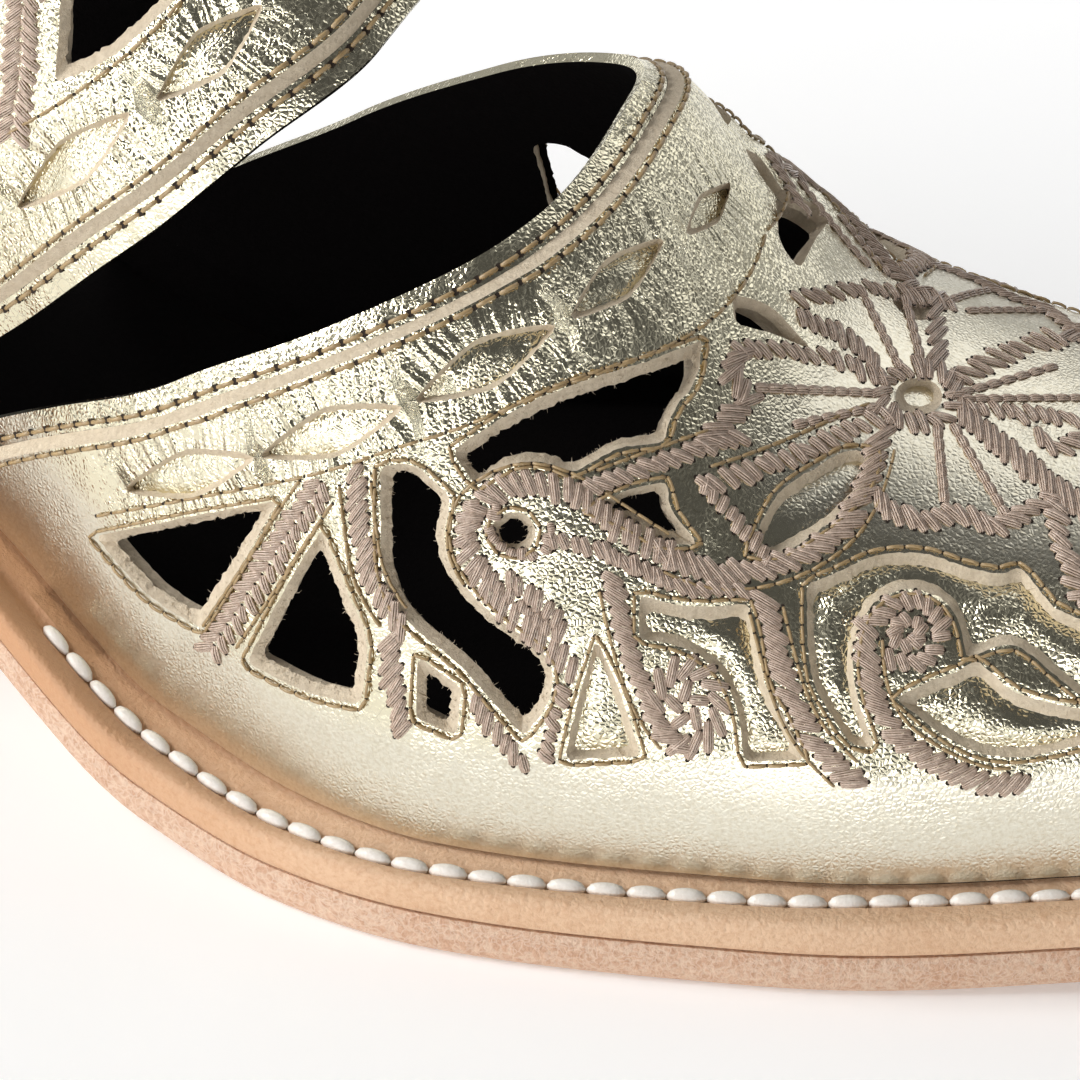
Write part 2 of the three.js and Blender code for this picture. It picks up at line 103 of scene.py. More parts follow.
def held_slopes(h, rise):
    """Slopes of a curve that never overshoots its points."""
    slope = np.concatenate([rise[:1], np.zeros(len(h) - 1), rise[-1:]])
    before, after = 2 * h[1:] + h[:-1], h[1:] + 2 * h[:-1]
    for k in np.nonzero(rise[:-1] * rise[1:] > 0)[0]:
        slope[k + 1] = (before[k] + after[k]) / (before[k] / rise[k] + after[k] / rise[k + 1])
    return slope


def even_slopes(h, rise):
    """Slopes of the curve that bends most evenly, level at its start."""
    n = len(h) + 1
    left, right = np.zeros((n, n)), np.zeros(n)
    left[0, 0] = 1
    for k in range(1, n - 1):
        left[k, k - 1:k + 2] = h[k], 2 * (h[k - 1] + h[k]), h[k - 1]
        right[k] = 3 * (h[k] * rise[k - 1] + h[k - 1] * rise[k])
    left[-1, -2:] = 1, 2
    right[-1] = 3 * rise[-1]
    return np.linalg.solve(left, right)


def curve(xs, ys, slopes=held_slopes):
    """Smooth curve through points."""
    xs, ys = np.array(xs, float), np.array(ys, float)
    h = np.diff(xs)
    slope = slopes(h, np.diff(ys) / h)

    def at(x):
        k = np.clip(np.searchsorted(xs, x) - 1, 0, len(h) - 1)
        t = np.clip((x - xs[k]) / h[k], 0, 1)
        s = 1 - t
        ends = s * s * (1 + 2 * t) * ys[k] + t * t * (1 + 2 * s) * ys[k + 1]
        return ends + s * s * t * h[k] * slope[k] - t * t * s * h[k] * slope[k + 1]

    return at


def place_of(x):
    return np.arcsin(np.clip(np.asarray(x, float) / HALF_LAST, -1, 1)) * 2 / np.pi


def x_of(place):
    return HALF_LAST * np.sin(np.asarray(place) * np.pi / 2)


last_table = dict(zip(LAST_COLUMNS, np.array(LAST, float).T))
outer, inner, ridge, power, reach = (
    curve(place_of(last_table["x"]), last_table[name]) for name in LAST_COLUMNS[1:]
)
floor_under = curve(PROFILE_X, PROFILE_FLOOR)
rim_at = curve(RIM_ANGLE, RIM_X, even_slopes)


def skin(place, angle):
    """Points of the last.

    The place along it runs from -1 to 1. The angle goes down from the ridge, below 0 on the outer side.
    """
    place, angle = np.broadcast_arrays(np.asarray(place, float), np.asarray(angle, float))
    x = x_of(place)
    exponent = 2 / power(place)
    half = np.where(angle < 0, -outer(place), inner(place))
    turn = np.radians(np.minimum(np.abs(angle), 90))
    y = half * np.sin(turn) ** exponent
    z = floor_under(x) + FEATHER + ridge(place) * np.clip(np.cos(turn), 0, None) ** exponent
    return np.stack([x, y, z], -1)


def unit(v):
    return v / np.maximum(np.linalg.norm(v, axis=-1, keepdims=True), 1e-9)


def skin_normal(place, angle, step=0.004, turn=0.6):
    along = skin(np.minimum(place + step, 1), angle) - skin(np.maximum(place - step, -1), angle)
    across = skin(place, angle + turn) - skin(place, angle - turn)
    normal = np.cross(along, across)
    flat = np.linalg.norm(normal, axis=-1) < 1e-6
    normal[flat] = np.stack([np.sign(place[flat]), 0 * place[flat], 0 * place[flat]], -1)
    return unit(normal)


def on_skin(spots, height=0.0):
    """Points at a height over the last, for spots given as rows of place and angle."""
    spots = np.asarray(spots, float)
    place, angle = spots[..., 0], spots[..., 1]
    height = np.broadcast_to(np.asarray(height, float), place.shape)[..., None]
    return skin(place, angle) + skin_normal(place, angle) * height


def to_frame(points):
    return (np.asarray(points) + SHIFT) * MM


def named(columns, table):
    """Rows of a table, each by the names of the columns."""
    return [dict(zip(columns, row)) for row in table]


def tangents(line):
    return unit(np.gradient(line, axis=0))


def quarter_turn(ways):
    """Directions in the plane, turned by a quarter."""
    return np.stack([-ways[..., 1], ways[..., 0]], -1)


def run_along(points):
    """Distance of each point from the first, along the line."""
    return np.concatenate([[0], np.cumsum(np.linalg.norm(np.diff(points, axis=0), axis=1))])


def in_space(points):
    return np.pad(points, ((0, 0), (0, 3 - points.shape[1])))


def search_tree(points):
    tree = kdtree.KDTree(len(points))
    for k, point in enumerate(in_space(points)):
        tree.insert(point, k)
    tree.balance()
    return tree


def nearest(tree, points):
    """Which point of a tree is nearest to each point, and how far away it is."""
    found = [tree.find(point) for point in in_space(points)]
    return np.array([hit[1] for hit in found], int), np.array([hit[2] for hit in found])


# Camera of the photograph
PHOTO = 1080
FOCAL = 4560.0
DISTANCE = 424.9
AZIMUTH, ELEVATION = math.radians(17.09), math.radians(35.06)
TARGET = np.array([20.3, -29.2, 33.8])
BACK = np.array([
    math.sin(AZIMUTH) * math.cos(ELEVATION),
    -math.cos(AZIMUTH) * math.cos(ELEVATION),
    math.sin(ELEVATION),
])
RIGHT = np.array([math.cos(AZIMUTH), math.sin(AZIMUTH), 0.0])
UP = np.cross(BACK, RIGHT)
EYE = TARGET + BACK * DISTANCE


def project(points):
    """Pixels of points on the last."""
    away = points - EYE
    depth = -(away @ BACK)
    return PHOTO / 2 + FOCAL * np.stack([away @ RIGHT, -(away @ UP)], -1) / depth[..., None]


SEEN_PLACES = np.linspace(-0.5, 0.66, 240)
SEEN_ANGLES = np.linspace(-89, 30, 200)
GRAZING = 0.05  # cosine of the angle to the ray below which the last is not seen
CAST_ANGLES = (-89.5, 40)
CAST_STEPS = np.array([[1e-4, 0], [0, 0.02]])  # small steps of place and of angle
CAST_LIMIT = np.array([0.01, 2.0])
CAST_ROUNDS = 8
LEAST_DET = 1e-3


def seed_spots():
    """Spots of the last that face the camera, and a search tree of their pixels."""
    place, angle = np.meshgrid(SEEN_PLACES, SEEN_ANGLES, indexing="ij")
    spots = np.stack([place.ravel(), angle.ravel()], -1)
    points = on_skin(spots)
    facing = (skin_normal(spots[:, 0], spots[:, 1]) * unit(EYE - points)).sum(-1) > GRAZING
    return spots[facing], search_tree(project(points[facing]))


SEEDS, SEED_TREE = seed_spots()


def cast(pixels):
    """Spots of the last under pixels of the photograph."""
    pixels = np.asarray(pixels, float)
    flat = pixels.reshape(-1, 2)
    spots = SEEDS[nearest(SEED_TREE, flat)[0]].copy()
    for _ in range(CAST_ROUNDS):
        here = project(skin(spots[:, 0], spots[:, 1]))
        shifted = [project(skin(*(spots + step).T)) for step in CAST_STEPS]
        (a, c), (b, d) = ((s - here).T / step.max() for s, step in zip(shifted, CAST_STEPS))
        miss_x, miss_y = (flat - here).T
        det = a * d - b * c
        det = np.where(np.abs(det) < LEAST_DET, np.copysign(LEAST_DET, det), det)
        move = np.stack([d * miss_x - b * miss_y, a * miss_y - c * miss_x], -1) / det[:, None]
        spots += np.clip(move, -CAST_LIMIT, CAST_LIMIT)
        spots[:, 1] = np.clip(spots[:, 1], *CAST_ANGLES)
    return spots.reshape(pixels.shape)


def mirrored(spots):
    return np.asarray(spots) * np.array([1, -1])


# Drawing in pixels
def resample(points, step, closed=False):
    """Points at even steps along a line."""
    points = np.asarray(points, float)
    if closed:
        points = np.concatenate([points, points[:1]])
    run = run_along(points)
    count = max(int(round(run[-1] / step)), 3)
    at = np.linspace(0, run[-1], count + 1)
    if closed:
        at = at[:-1]
    return np.stack([np.interp(at, run, points[:, k]) for k in range(points.shape[1])], -1)


SHARP_TURN, SHARP_CUT = 50.0, 4.0


def rounded(points, closed=True, rounds=3):
    """Line with its corners cut: gentle turns become curves and sharp ones stay crisp."""
    points = np.asarray(points, float)
    for _ in range(rounds):
        before, after = points - np.roll(points, 1, 0), np.roll(points, -1, 0) - points
        cut = 0.25 * np.minimum(np.linalg.norm(before, axis=1), np.linalg.norm(after, axis=1))
        before, after = unit(before), unit(after)
        sharp = (before * after).sum(1) < math.cos(math.radians(SHARP_TURN))
        cut = np.where(sharp, np.minimum(cut, SHARP_CUT), cut)[:, None]
        pairs = np.stack([points - before * cut, points + after * cut], 1)
        kept = pairs.reshape(-1, 2) if closed else pairs[1:-1].reshape(-1, 2)
        points = kept if closed else np.concatenate([points[:1], kept, points[-1:]])
    return points


def flow(points, step):
    """Smooth open line through pixels, at even steps."""
    return resample(rounded(points, closed=False), step)


STRAIGHT, MITRE_LIMIT = 0.3, 1.6


def widened(corners, sides):
    """Corners of a cut moved outwards.

    Each side moves by the margin for the way it faces: above, below, left or right.
    """
    corners = np.asarray(corners, float)
    ahead = np.roll(corners, -1, 0)
    area = np.sum(corners[:, 0] * ahead[:, 1] - ahead[:, 0] * corners[:, 1])
    along = unit(ahead - corners) * np.sign(area)
    over, under, left, right = sides
    upright = np.where(along[:, 0] > 0, over, under)
    level = np.where(along[:, 1] > 0, right, left)
    margin = upright * along[:, 0] ** 2 + level * along[:, 1] ** 2
    normal = -quarter_turn(along)
    before, before_margin = np.roll(normal, 1, 0), np.roll(margin, 1)
    cross = before[:, 0] * normal[:, 1] - before[:, 1] * normal[:, 0]
    straight = np.abs(cross) < STRAIGHT
    safe = np.where(straight, 1.0, cross)
    mitre = np.stack([
        before_margin * normal[:, 1] - margin * before[:, 1],
        before[:, 0] * margin - normal[:, 0] * before_margin,
    ], -1) / safe[:, None]
    even = unit(before + normal) * ((margin + before_margin) / 2)[:, None]
    move = np.where(straight[:, None], even, mitre)
    length = np.linalg.norm(move, axis=1)
    most = MITRE_LIMIT * np.maximum(margin, before_margin)
    return corners + move * np.minimum(1, most / np.maximum(length, 1e-6))[:, None]


LEAF_POINTS, LEAF_BOW = 13, 1.35


def leaf(tip, end, width):
    """Pointed oval between two tips."""
    tip, end = np.array(tip, float), np.array(end, float)
    middle = tip + (end - tip) * np.linspace(0, 1, LEAF_POINTS)[:, None]
    bow = 1 - np.abs(np.linspace(-1, 1, LEAF_POINTS)[:, None]) ** LEAF_BOW
    side = unit(quarter_turn(end - tip)) * bow * width / 2
    return np.concatenate([middle + side, (middle - side)[-2:0:-1]])


def around(centre, radii, turn):
    """Points round a centre at angles in degrees."""
    turn = np.radians(turn)
    return np.array(centre) + np.stack([np.cos(turn) * radii[0], np.sin(turn) * radii[1]], -1)


def oval(centre, radii, count=28):
    return around(centre, radii, np.linspace(0, 360, count, endpoint=False))


# Windows open to the inside, as seen: each corner a pixel
OPEN_WINDOWS = {
    "rear_triangle": [(114, 540), (200, 522), (264, 509), (240, 548), (200, 613), (160, 590), (136, 566)],
    "post_triangle": [(321, 546), (345, 608), (360, 640), (354, 690), (312, 682), (262, 656), (300, 582)],
    "small_pocket": [(427, 672), (452, 690), (449, 722), (426, 712)],
    "scroll": [
        (392, 472), (410, 470), (442, 499), (434, 540), (445, 572), (470, 605), (503, 633), (536, 654),
        (546, 676), (542, 696), (525, 719), (500, 692), (472, 658), (428, 624), (404, 600), (392, 565),
    ],
    "crescent": [
        (478, 475), (465, 456), (500, 432), (545, 408), (600, 388), (660, 370), (694, 356), (690, 380),
        (668, 402), (659, 434), (620, 438), (592, 452), (573, 464), (545, 452), (515, 453), (492, 466),
    ],
    "comma": [(608, 506), (635, 494), (660, 490), (661, 510), (680, 532), (660, 531), (640, 514)],
}
THROAT_WINDOWS = {
    "near": [(742, 300), (770, 307), (808, 346), (778, 330), (745, 322)],
    "far": [(786, 194), (806, 202), (828, 217), (814, 236), (802, 260), (788, 242)],
}
CUFF_OPEN_WINDOWS = {
    "front": [(66, 66), (104, 50), (160, 0), (215, -60), (150, -90), (75, -40)],
}
# Inlays: the outer leather is cut away over the gold underlay
INLAYS = {
    "leaf": [
        (760, 545), (778, 508), (795, 492), (850, 460), (867, 465), (862, 482), (840, 504), (800, 533),
        (772, 548),
    ],
    "arch": [
        (646, 610), (690, 621), (744, 617), (750, 640), (754, 670), (761, 698), (775, 718), (792, 751),
        (750, 752), (746, 715), (738, 690), (724, 663), (700, 645), (675, 634), (646, 630),
    ],
    "recess": [
        (814, 594), (845, 582), (868, 569), (900, 564), (930, 566), (960, 578), (1000, 587), (1020, 580),
        (1036, 600), (1053, 621), (1088, 635), (1125, 650), (1130, 700), (1086, 690), (1060, 668),
        (1035, 645), (1010, 632), (986, 640), (972, 646), (967, 620), (952, 593), (925, 579), (895, 579),
        (870, 593), (855, 616), (848, 640), (845, 670), (850, 700), (864, 738), (854, 736), (834, 705),
        (819, 680), (814, 640),
    ],
    "crescent": [
        (914, 702), (940, 690), (962, 683), (976, 673), (990, 685), (1010, 704), (1050, 717), (1090, 722),
        (1120, 716), (1090, 733), (1050, 743), (1010, 749), (975, 743), (944, 726),
    ],
    "fan": [(597, 652), (612, 690), (630, 747), (574, 750), (583, 708)],
}
# Pointed ovals along the topline: tip, tip, width
DIAMONDS = [
    ((130, 488), (248, 460), 38),
    ((266, 454), (396, 410), 40),
    ((420, 398), (551, 329), 42),
    ((575, 313), (661, 243), 36),
    ((690, 229), (729, 188), 24),
]
CUFF_DIAMONDS = [((20, 205), (126, 117), 40), ((160, 96), (259, 9), 42)]
FLOWER, FLOWER_HOLE = (919, 396), (15, 10)
EYELET, EYELET_RADII = (514, 532), (15, 13)
# Width of the raw cut seen on each side of a cut: above it, below it, left and right
OPEN_MARGIN = (7, 14, 12, 8)
OWN_MARGIN = {"crescent": (13, 9, 8, 7), "small_pocket": (6, 10, 11, 9), "eyelet": (7, 9, 8, 7)}
INLAY_MARGIN = (13, 10, 7, 7)
DIAMOND_MARGIN = (6, 6, 2, 2)
RING_MARGIN = (9, 9, 9, 9)
THROAT_MARGIN = (4, 3, 9, 3)
THREAD_GAP = 5.0
RAGGED, SOFT_RAGGED, THROAT_RAGGED, RING_RAGGED = 0.8, 0.5, 0.4, 0.3
FACE_SHARE, OPENING_SHARE = 0.5, 1.0  # how ragged a cut is at the face and below it
OUTLINE_STEP = 5.0
RIDGE_ZONE = 3.0  # degrees on each side of the ridge that the inner side's ornament keeps clear of
INNER_SHIFT = (-0.021, 0.8)  # place and angle


def cut(corners, sides, ragged=RAGGED, depth=LEATHER):
    """Spots of a cut's edge at the face of the leather and of its edge seen below, as many of each."""
    both = np.concatenate([rounded(widened(corners, sides)), rounded(corners)], 1)
    both = resample(both, OUTLINE_STEP * math.sqrt(2), closed=True)
    both += random.normal(0, ragged, both.shape) * np.repeat([FACE_SHARE, OPENING_SHARE], 2)
    face, opening = both[:, :2], both[:, 2:]
    missed = opening - project(on_skin(cast(opening), -depth))
    return cast(face), cast(opening + missed)


def inner_side(spots):
    """Mirror image of the ornament, which sits a little farther back and lower on the inner side."""
    return mirrored(spots) + np.array(INNER_SHIFT)


def both_sides(pairs, image=inner_side):
    """Cuts on the outer side and their images, left out where they would meet on the ridge."""
    return pairs + [(image(a), image(b)) for a, b in pairs if a[:, 1].max() < -RIDGE_ZONE]


EYELET_POINTS = 16
open_corners = [*OPEN_WINDOWS.values(), oval(EYELET, EYELET_RADII, EYELET_POINTS)]
open_margins = [OWN_MARGIN.get(name, OPEN_MARGIN) for name in [*OPEN_WINDOWS, "eyelet"]]
near_open = [cut(corners, sides) for corners, sides in zip(open_corners, open_margins)]
near_open += [cut(corners, THROAT_MARGIN, THROAT_RAGGED, 0.0) for corners in THROAT_WINDOWS.values()]
near_inlays = [cut(corners, INLAY_MARGIN) for corners in INLAYS.values()]
near_inlays.append(cut(oval(FLOWER, FLOWER_HOLE), RING_MARGIN, RING_RAGGED))
near_diamonds = [cut(leaf(*row), DIAMOND_MARGIN, SOFT_RAGGED) for row in DIAMONDS]
vamp_open = both_sides(near_open)
vamp_diamonds = both_sides(near_diamonds, mirrored)
vamp_inlays = both_sides(near_inlays) + vamp_diamonds
cuff_open = both_sides([cut(corners, OPEN_MARGIN) for corners in CUFF_OPEN_WINDOWS.values()], mirrored)
cuff_inlays = both_sides([cut(leaf(*row), DIAMOND_MARGIN, SOFT_RAGGED) for row in CUFF_DIAMONDS], mirrored)
diamond_cuts = vamp_diamonds + cuff_inlays

# Flat pattern: place and angle stretched to about a millimetre each
STRETCH = np.array([HALF_LAST * np.pi / 2, 0.8])
ROW_STEP, EDGE_CLEAR = 0.87, 0.55  # in steps of the lattice


def within(points, loop):
    """Which points lie inside a closed line."""
    x, y = points[:, 0], points[:, 1]
    found = np.zeros(len(points), bool)
    for (ax, ay), (bx, by) in zip(loop, np.roll(loop, -1, 0)):
        if ay != by:
            crosses = ((ay > y) != (by > y)) & (x < (bx - ax) * (y - ay) / (by - ay) + ax)
            found ^= crosses
    return found


def lattice(loop, step):
    """Staggered rows of points inside a closed line."""
    low, high = loop.min(0), loop.max(0)
    rows = np.arange(low[1], high[1], step * ROW_STEP)
    xs = np.arange(low[0], high[0], step)
    points = np.concatenate([
        np.stack([xs + (step / 2 if k % 2 else 0), np.full(len(xs), row)], -1) for k, row in enumerate(rows)
    ])
    return points[within(points, loop)]


def flat_pattern(edge, holes, step):
    """Triangles of a sheet with cuts: spots at its face, spots below, and faces."""
    loops = [edge, *holes]
    face = [np.asarray(a) * STRETCH for a, _ in loops]
    below = np.concatenate([np.asarray(b) * STRETCH for _, b in loops])
    fixed = np.concatenate(face)
    fill = lattice(face[0], step)
    fill = fill[nearest(search_tree(fixed), fill)[1] > step * EDGE_CLEAR]
    edges, start = [], 0
    for loop in face:
        n = len(loop)
        edges += [(start + k, start + (k + 1) % n) for k in range(n)]
        start += n
    points = [Vector(p) for p in np.concatenate([fixed, fill])]
    verts, _, faces, origin, _, _ = delaunay_2d_cdt(points, edges, [], 0, 1e-6)
    verts = np.array([tuple(v) for v in verts])
    faces = np.array([f for f in faces if len(f) == 3])
    middle = verts[faces].mean(1)
    keep = within(middle, face[0])
    for loop in face[1:]:
        keep &= ~within(middle, loop)
    faces = faces[keep]
    under = verts.copy()
    for k, source in enumerate(origin):
        first = min(source) if source else len(fixed)
        if first < len(fixed):
            under[k] = below[first]
    a, b, c = (verts[faces[:, k]] for k in range(3))
    turn = (b - a)[:, 0] * (c - a)[:, 1] - (b - a)[:, 1] * (c - a)[:, 0]
    faces[turn < 0] = faces[turn < 0][:, ::-1]
    used, faces = np.unique(faces, return_inverse=True)
    on_edge = np.array([bool(source) and min(source) < len(face[0]) for source in origin])
    return verts[used] / STRETCH, under[used] / STRETCH, faces.reshape(-1, 3), on_edge[used]


def outer_edges(faces):
    """Edges that only one triangle has, in its direction."""
    edges = np.concatenate([faces[:, [0, 1]], faces[:, [1, 2]], faces[:, [2, 0]]])
    key = np.sort(edges, 1)
    _, first, count = np.unique(key, axis=0, return_index=True, return_counts=True)
    return edges[first[count == 1]]


def add_mesh(name, verts, faces, materials, indices=None, smooth=True):
    """Object from metres and faces of equal length."""
    verts, faces = np.asarray(verts, np.float32), np.asarray(faces, np.int32)
    mesh = bpy.data.meshes.new(name)
    mesh.vertices.add(len(verts))
    mesh.vertices.foreach_set("co", verts.ravel())
    corners = faces.shape[1]
    mesh.loops.add(faces.size)
    mesh.loops.foreach_set("vertex_index", faces.ravel())
    mesh.polygons.add(len(faces))
    mesh.polygons.foreach_set("loop_start", np.arange(0, faces.size, corners, dtype=np.int32))
    for mat in materials:
        mesh.materials.append(mat)
    if indices is not None:
        mesh.polygons.foreach_set("material_index", np.asarray(indices, np.int32))
    mesh.polygons.foreach_set("use_smooth", np.full(len(faces), smooth))
    mesh.update(calc_edges=True)
    mesh.validate()
    piece = bpy.data.objects.new(name, mesh)
    bpy.context.scene.collection.objects.link(piece)
    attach(piece, "root")
    return piece


def paint(piece, name, values):
    attribute = piece.data.attributes.new(name, "FLOAT", "POINT")
    attribute.data.foreach_set("value", np.asarray(values, np.float32))


PILLOW, PILLOW_EDGE = 0.8, 1.8
RIM_DROP = 0.1  # how far the leather's face dips at a cut
SHEET_SHARP = math.radians(38)
FACE_LOOK, CUT_LOOK, LINING_LOOK, EDGE_LOOK = range(4)  # order of a sheet's materials


def pillow_at(spots, cuts):
    """How far the underlay swells up into the cuts above it."""
    flat, points = spots * STRETCH, on_skin(spots)
    swell = np.zeros(len(spots))
    for _, below in cuts:
        inside = np.nonzero(within(flat, below * STRETCH))[0]
        edge = on_skin(below)
        distance = [np.linalg.norm(edge - point, axis=1).min() for point in points[inside]]
        swell[inside] = PILLOW * np.tanh(np.array(distance) / PILLOW_EDGE)
    return swell


def sheet(name, edge, holes, top, thickness, step, materials, turned=RIM_DROP, filled=()):
    """Closed sheet of leather on the last: face, back, cut edges and its own outer edge, turned down."""
    spots, under, faces, on_edge = flat_pattern(edge, holes, step)
    rim = outer_edges(faces)
    height = top + pillow_at(spots, filled)
    height[np.unique(rim)] -= RIM_DROP
    height[on_edge] = top - turned
    n = len(spots)
    verts = np.concatenate([on_skin(spots, height), on_skin(under, top - thickness)])
    walls = np.concatenate([
        np.stack([rim[:, 1], rim[:, 0], rim[:, 0] + n], -1),
        np.stack([rim[:, 1], rim[:, 0] + n, rim[:, 1] + n], -1),
    ])
    every = np.concatenate([faces, faces[:, ::-1] + n, walls])
    wall_looks = np.where(on_edge[rim[:, 0]], EDGE_LOOK, CUT_LOOK)
    index = np.concatenate([np.repeat([FACE_LOOK, LINING_LOOK], len(faces)), np.tile(wall_looks, 2)])
    piece = add_mesh(name, to_frame(verts), every, materials, index)
    piece.data.set_sharp_from_angle(angle=SHEET_SHARP)
    is_under = top < 0
    pucker, along = pucker_at(spots)
    looks = {
        "crinkle": crinkle_at(spots),
        "grain": grain_at(spots, is_under),
        "pucker": pucker * (UNDER_PUCKER if is_under else 1),
        "along": along,
    }
    for look, values in looks.items():
        paint(piece, look, np.tile(values, 2))
    return piece


def square_step(angle):
    """Step in x that moves one millimetre square to the topline."""
    near = np.abs(angle)
    side = np.where(angle < 0, -1.0, 1.0)
    high, low = np.minimum(near + 1, 90), np.maximum(near - 1, 0)
    line = unit(skin(place_of(rim_at(high)), side * high) - skin(place_of(rim_at(low)), side * low))
    along = skin(place_of(rim_at(near) + 1), side * near) - skin(place_of(rim_at(near)), side * near)
    return 1 / np.linalg.norm(np.cross(along, line), axis=-1)


# Foot of the cut-work: below it the leather is plain and smooth
FOOT_X = (-60, -20, -10, 9, 25, 34, 41, 53, 66, 73, 95)
FOOT_ANGLE = (76, 76, 78, 77, 75, 74, 71, 70, 70, 67, 66)
foot_at = curve(FOOT_X, FOOT_ANGLE)
FOOT_FADE = 3.0
PLAIN_TOE, TOE_FADE, TOE_CALM = 84.0, 14.0, 0.75
SATIN_X, SATIN_ANGLE, SATIN_CALM = (35, 43), (40, 30), 0.85


def satin_at(spots):
    """How calm the leather is on top of the forepart, where the flower lies."""
    along = np.interp(x_of(spots[:, 0]), SATIN_X, (0, 1))
    return along * np.clip((SATIN_ANGLE[0] - np.abs(spots[:, 1])) / (SATIN_ANGLE[0] - SATIN_ANGLE[1]), 0, 1)


def crinkle_at(spots):
    """How crinkled the leather is, from 0 on the plain strip to 1 in the cut-work."""
    x = x_of(spots[:, 0])
    low = np.clip((np.abs(spots[:, 1]) - foot_at(x)) / FOOT_FADE, 0, 1)
    front = np.clip((x - PLAIN_TOE) / TOE_FADE, 0, 1)
    return (1 - low) * (1 - TOE_CALM * front) * (1 - SATIN_CALM * satin_at(spots))


COARSE_BAND, COARSE_FADE = 15.0, 8.0
FINE_GRAIN, UNDER_GRAIN, STRIP_GRAIN = 0.8, 0.85, 0.5


def grain_at(spots, under):
    """How coarse the pebbles are: coarse behind the topline and on the underlay, fine elsewhere."""
    angle = spots[:, 1]
    distance = (x_of(spots[:, 0]) - rim_at(np.abs(angle))) / square_step(angle)
    band = np.clip(1 - (distance - COARSE_BAND) / COARSE_FADE, 0, 1)
    coarse = np.full(len(spots), UNDER_GRAIN) if under else FINE_GRAIN + (1 - FINE_GRAIN) * band
    return coarse * (STRIP_GRAIN + (1 - STRIP_GRAIN) * crinkle_at(spots))


PUCKER_REACH, UNDER_PUCKER = 2.6, 0.3


def pucker_at(spots):
    """How much the leather puckers near the pointed ovals, and how far along their edge it is."""
    edges = [on_skin(face) for face, _ in diamond_cuts]
    along = np.concatenate([
        np.cumsum(np.linalg.norm(np.diff(edge, axis=0, prepend=edge[-1:]), axis=1)) for edge in edges
    ])
    sources = np.concatenate(edges)
    which, distance = nearest(search_tree(sources), on_skin(spots))
    return np.exp(-distance / PUCKER_REACH), along[which]


def rim_spots(offset, foot, count=420):
    """Spots along the topline from foot to foot, at a distance in front of it."""
    angle = np.linspace(-foot, foot, count)
    return np.stack([place_of(rim_at(np.abs(angle)) + offset * square_step(angle)), angle], -1)


SIDE_POINTS, FRONT_POINTS = 150, 120


def vamp_edge(back, front_place, foot):
    """Outline of a sheet of the vamp: topline, inner foot, front and outer foot."""
    topline = rim_spots(back, foot)
    side = np.linspace(topline[-1, 0], front_place, SIDE_POINTS)[1:]
    turn = np.linspace(foot, -foot, FRONT_POINTS)[1:-1]
    inner_foot = np.stack([side, np.full(len(side), foot)], -1)
    front = np.stack([np.full(len(turn), front_place), turn], -1)
    return np.concatenate([topline, inner_foot, front, mirrored(inner_foot)[::-1]])


# Cuff edges
cuff_table = dict(zip(CUFF_COLUMNS, np.array(CUFF, float).T))


def angle_at_height(place, z):
    share = (z - floor_under(x_of(place)) - FEATHER) / ridge(place)
    return np.degrees(np.arccos(np.clip(share, 0, 1) ** (power(place) / 2)))


cuff_lower = curve(cuff_table["part"], place_of(cuff_table["lower_x"]))
cuff_lower_angle = curve(cuff_table["part"], cuff_table["lower_angle"])
cuff_collar = curve(cuff_table["part"], place_of(cuff_table["collar_x"]))
cuff_collar_angle = curve(
    cuff_table["part"], angle_at_height(place_of(cuff_table["collar_x"]), cuff_table["collar_z"])
)


def cuff_spot(part, t):
    """Spots of the cuff's outer half: part round the ankle, t from the lower edge to the collar."""
    place = (1 - t) * cuff_lower(part) + t * cuff_collar(part)
    angle = (1 - t) * cuff_lower_angle(part) + t * cuff_collar_angle(part)
    return np.stack([place, -angle], -1)


def cuff_share(part, offset):
    """Share of the way up the cuff that an offset in millimetres takes."""
    a, b, c = (skin(*cuff_spot(part, t).T) for t in (0.0, 0.5, 1.0))
    return offset / (np.linalg.norm(b - a, axis=-1) + np.linalg.norm(c - b, axis=-1))


def cuff_line(offset, collar=False, count=260):
    part = np.linspace(0, 1, count)
    share = cuff_share(part, offset)
    return cuff_spot(part, 1 - share if collar else share)


def cuff_edge(offset):
    lower, collar = cuff_line(offset), cuff_line(offset, collar=True)
    return np.concatenate([lower, collar[::-1], mirrored(collar)[1:], mirrored(lower)[:0:-1]])


# Materials: 8-bit colours, in pairs that a grain blends between or alone
TONES = {
    "satin": ((233, 228, 211), (219, 211, 190)),
    "raw": ((182, 162, 134), (246, 232, 208)),
    "suede": ((8, 6, 6), (24, 19, 19)),
    "mauve": ((136, 111, 94), (240, 218, 199)),
    "tan": ((126, 100, 64), (198, 170, 124)),
    "white": ((220, 210, 198), (250, 246, 240)),
    "welt": ((216, 174, 136), (236, 204, 172)),
    "sole": ((220, 176, 145), (234, 204, 178)),
    "heel": ((150, 104, 66), (206, 158, 112)),
}
TINTS = {
    "foil": (239, 232, 204),
    "worn_foil": (138, 126, 96),
    # painted shade: darker welt tone towards the waist
    "welt_painted_shade": (188, 134, 90),
    "welt_pore": (194, 142, 102),
    "sole_pore": (194, 140, 108),
    "sole_fibre": (242, 220, 198),
    "top_rubber": (52, 40, 34),
    # painted shade: dark colour for the shadow inside needle holes
    "needle_hole_shade": (44, 33, 24),
}


def linear(colour):
    c = np.array(colour) / 255
    return (*np.where(c <= 0.04045, c / 12.92, ((c + 0.055) / 1.055) ** 2.4), 1.0)


def tones(name):
    return [linear(colour) for colour in TONES[name]]


def tint(name):
    return linear(TINTS[name])


MIX_A, MIX_B, MIX_RESULT = 6, 7, 2  # colour sockets of the mix node


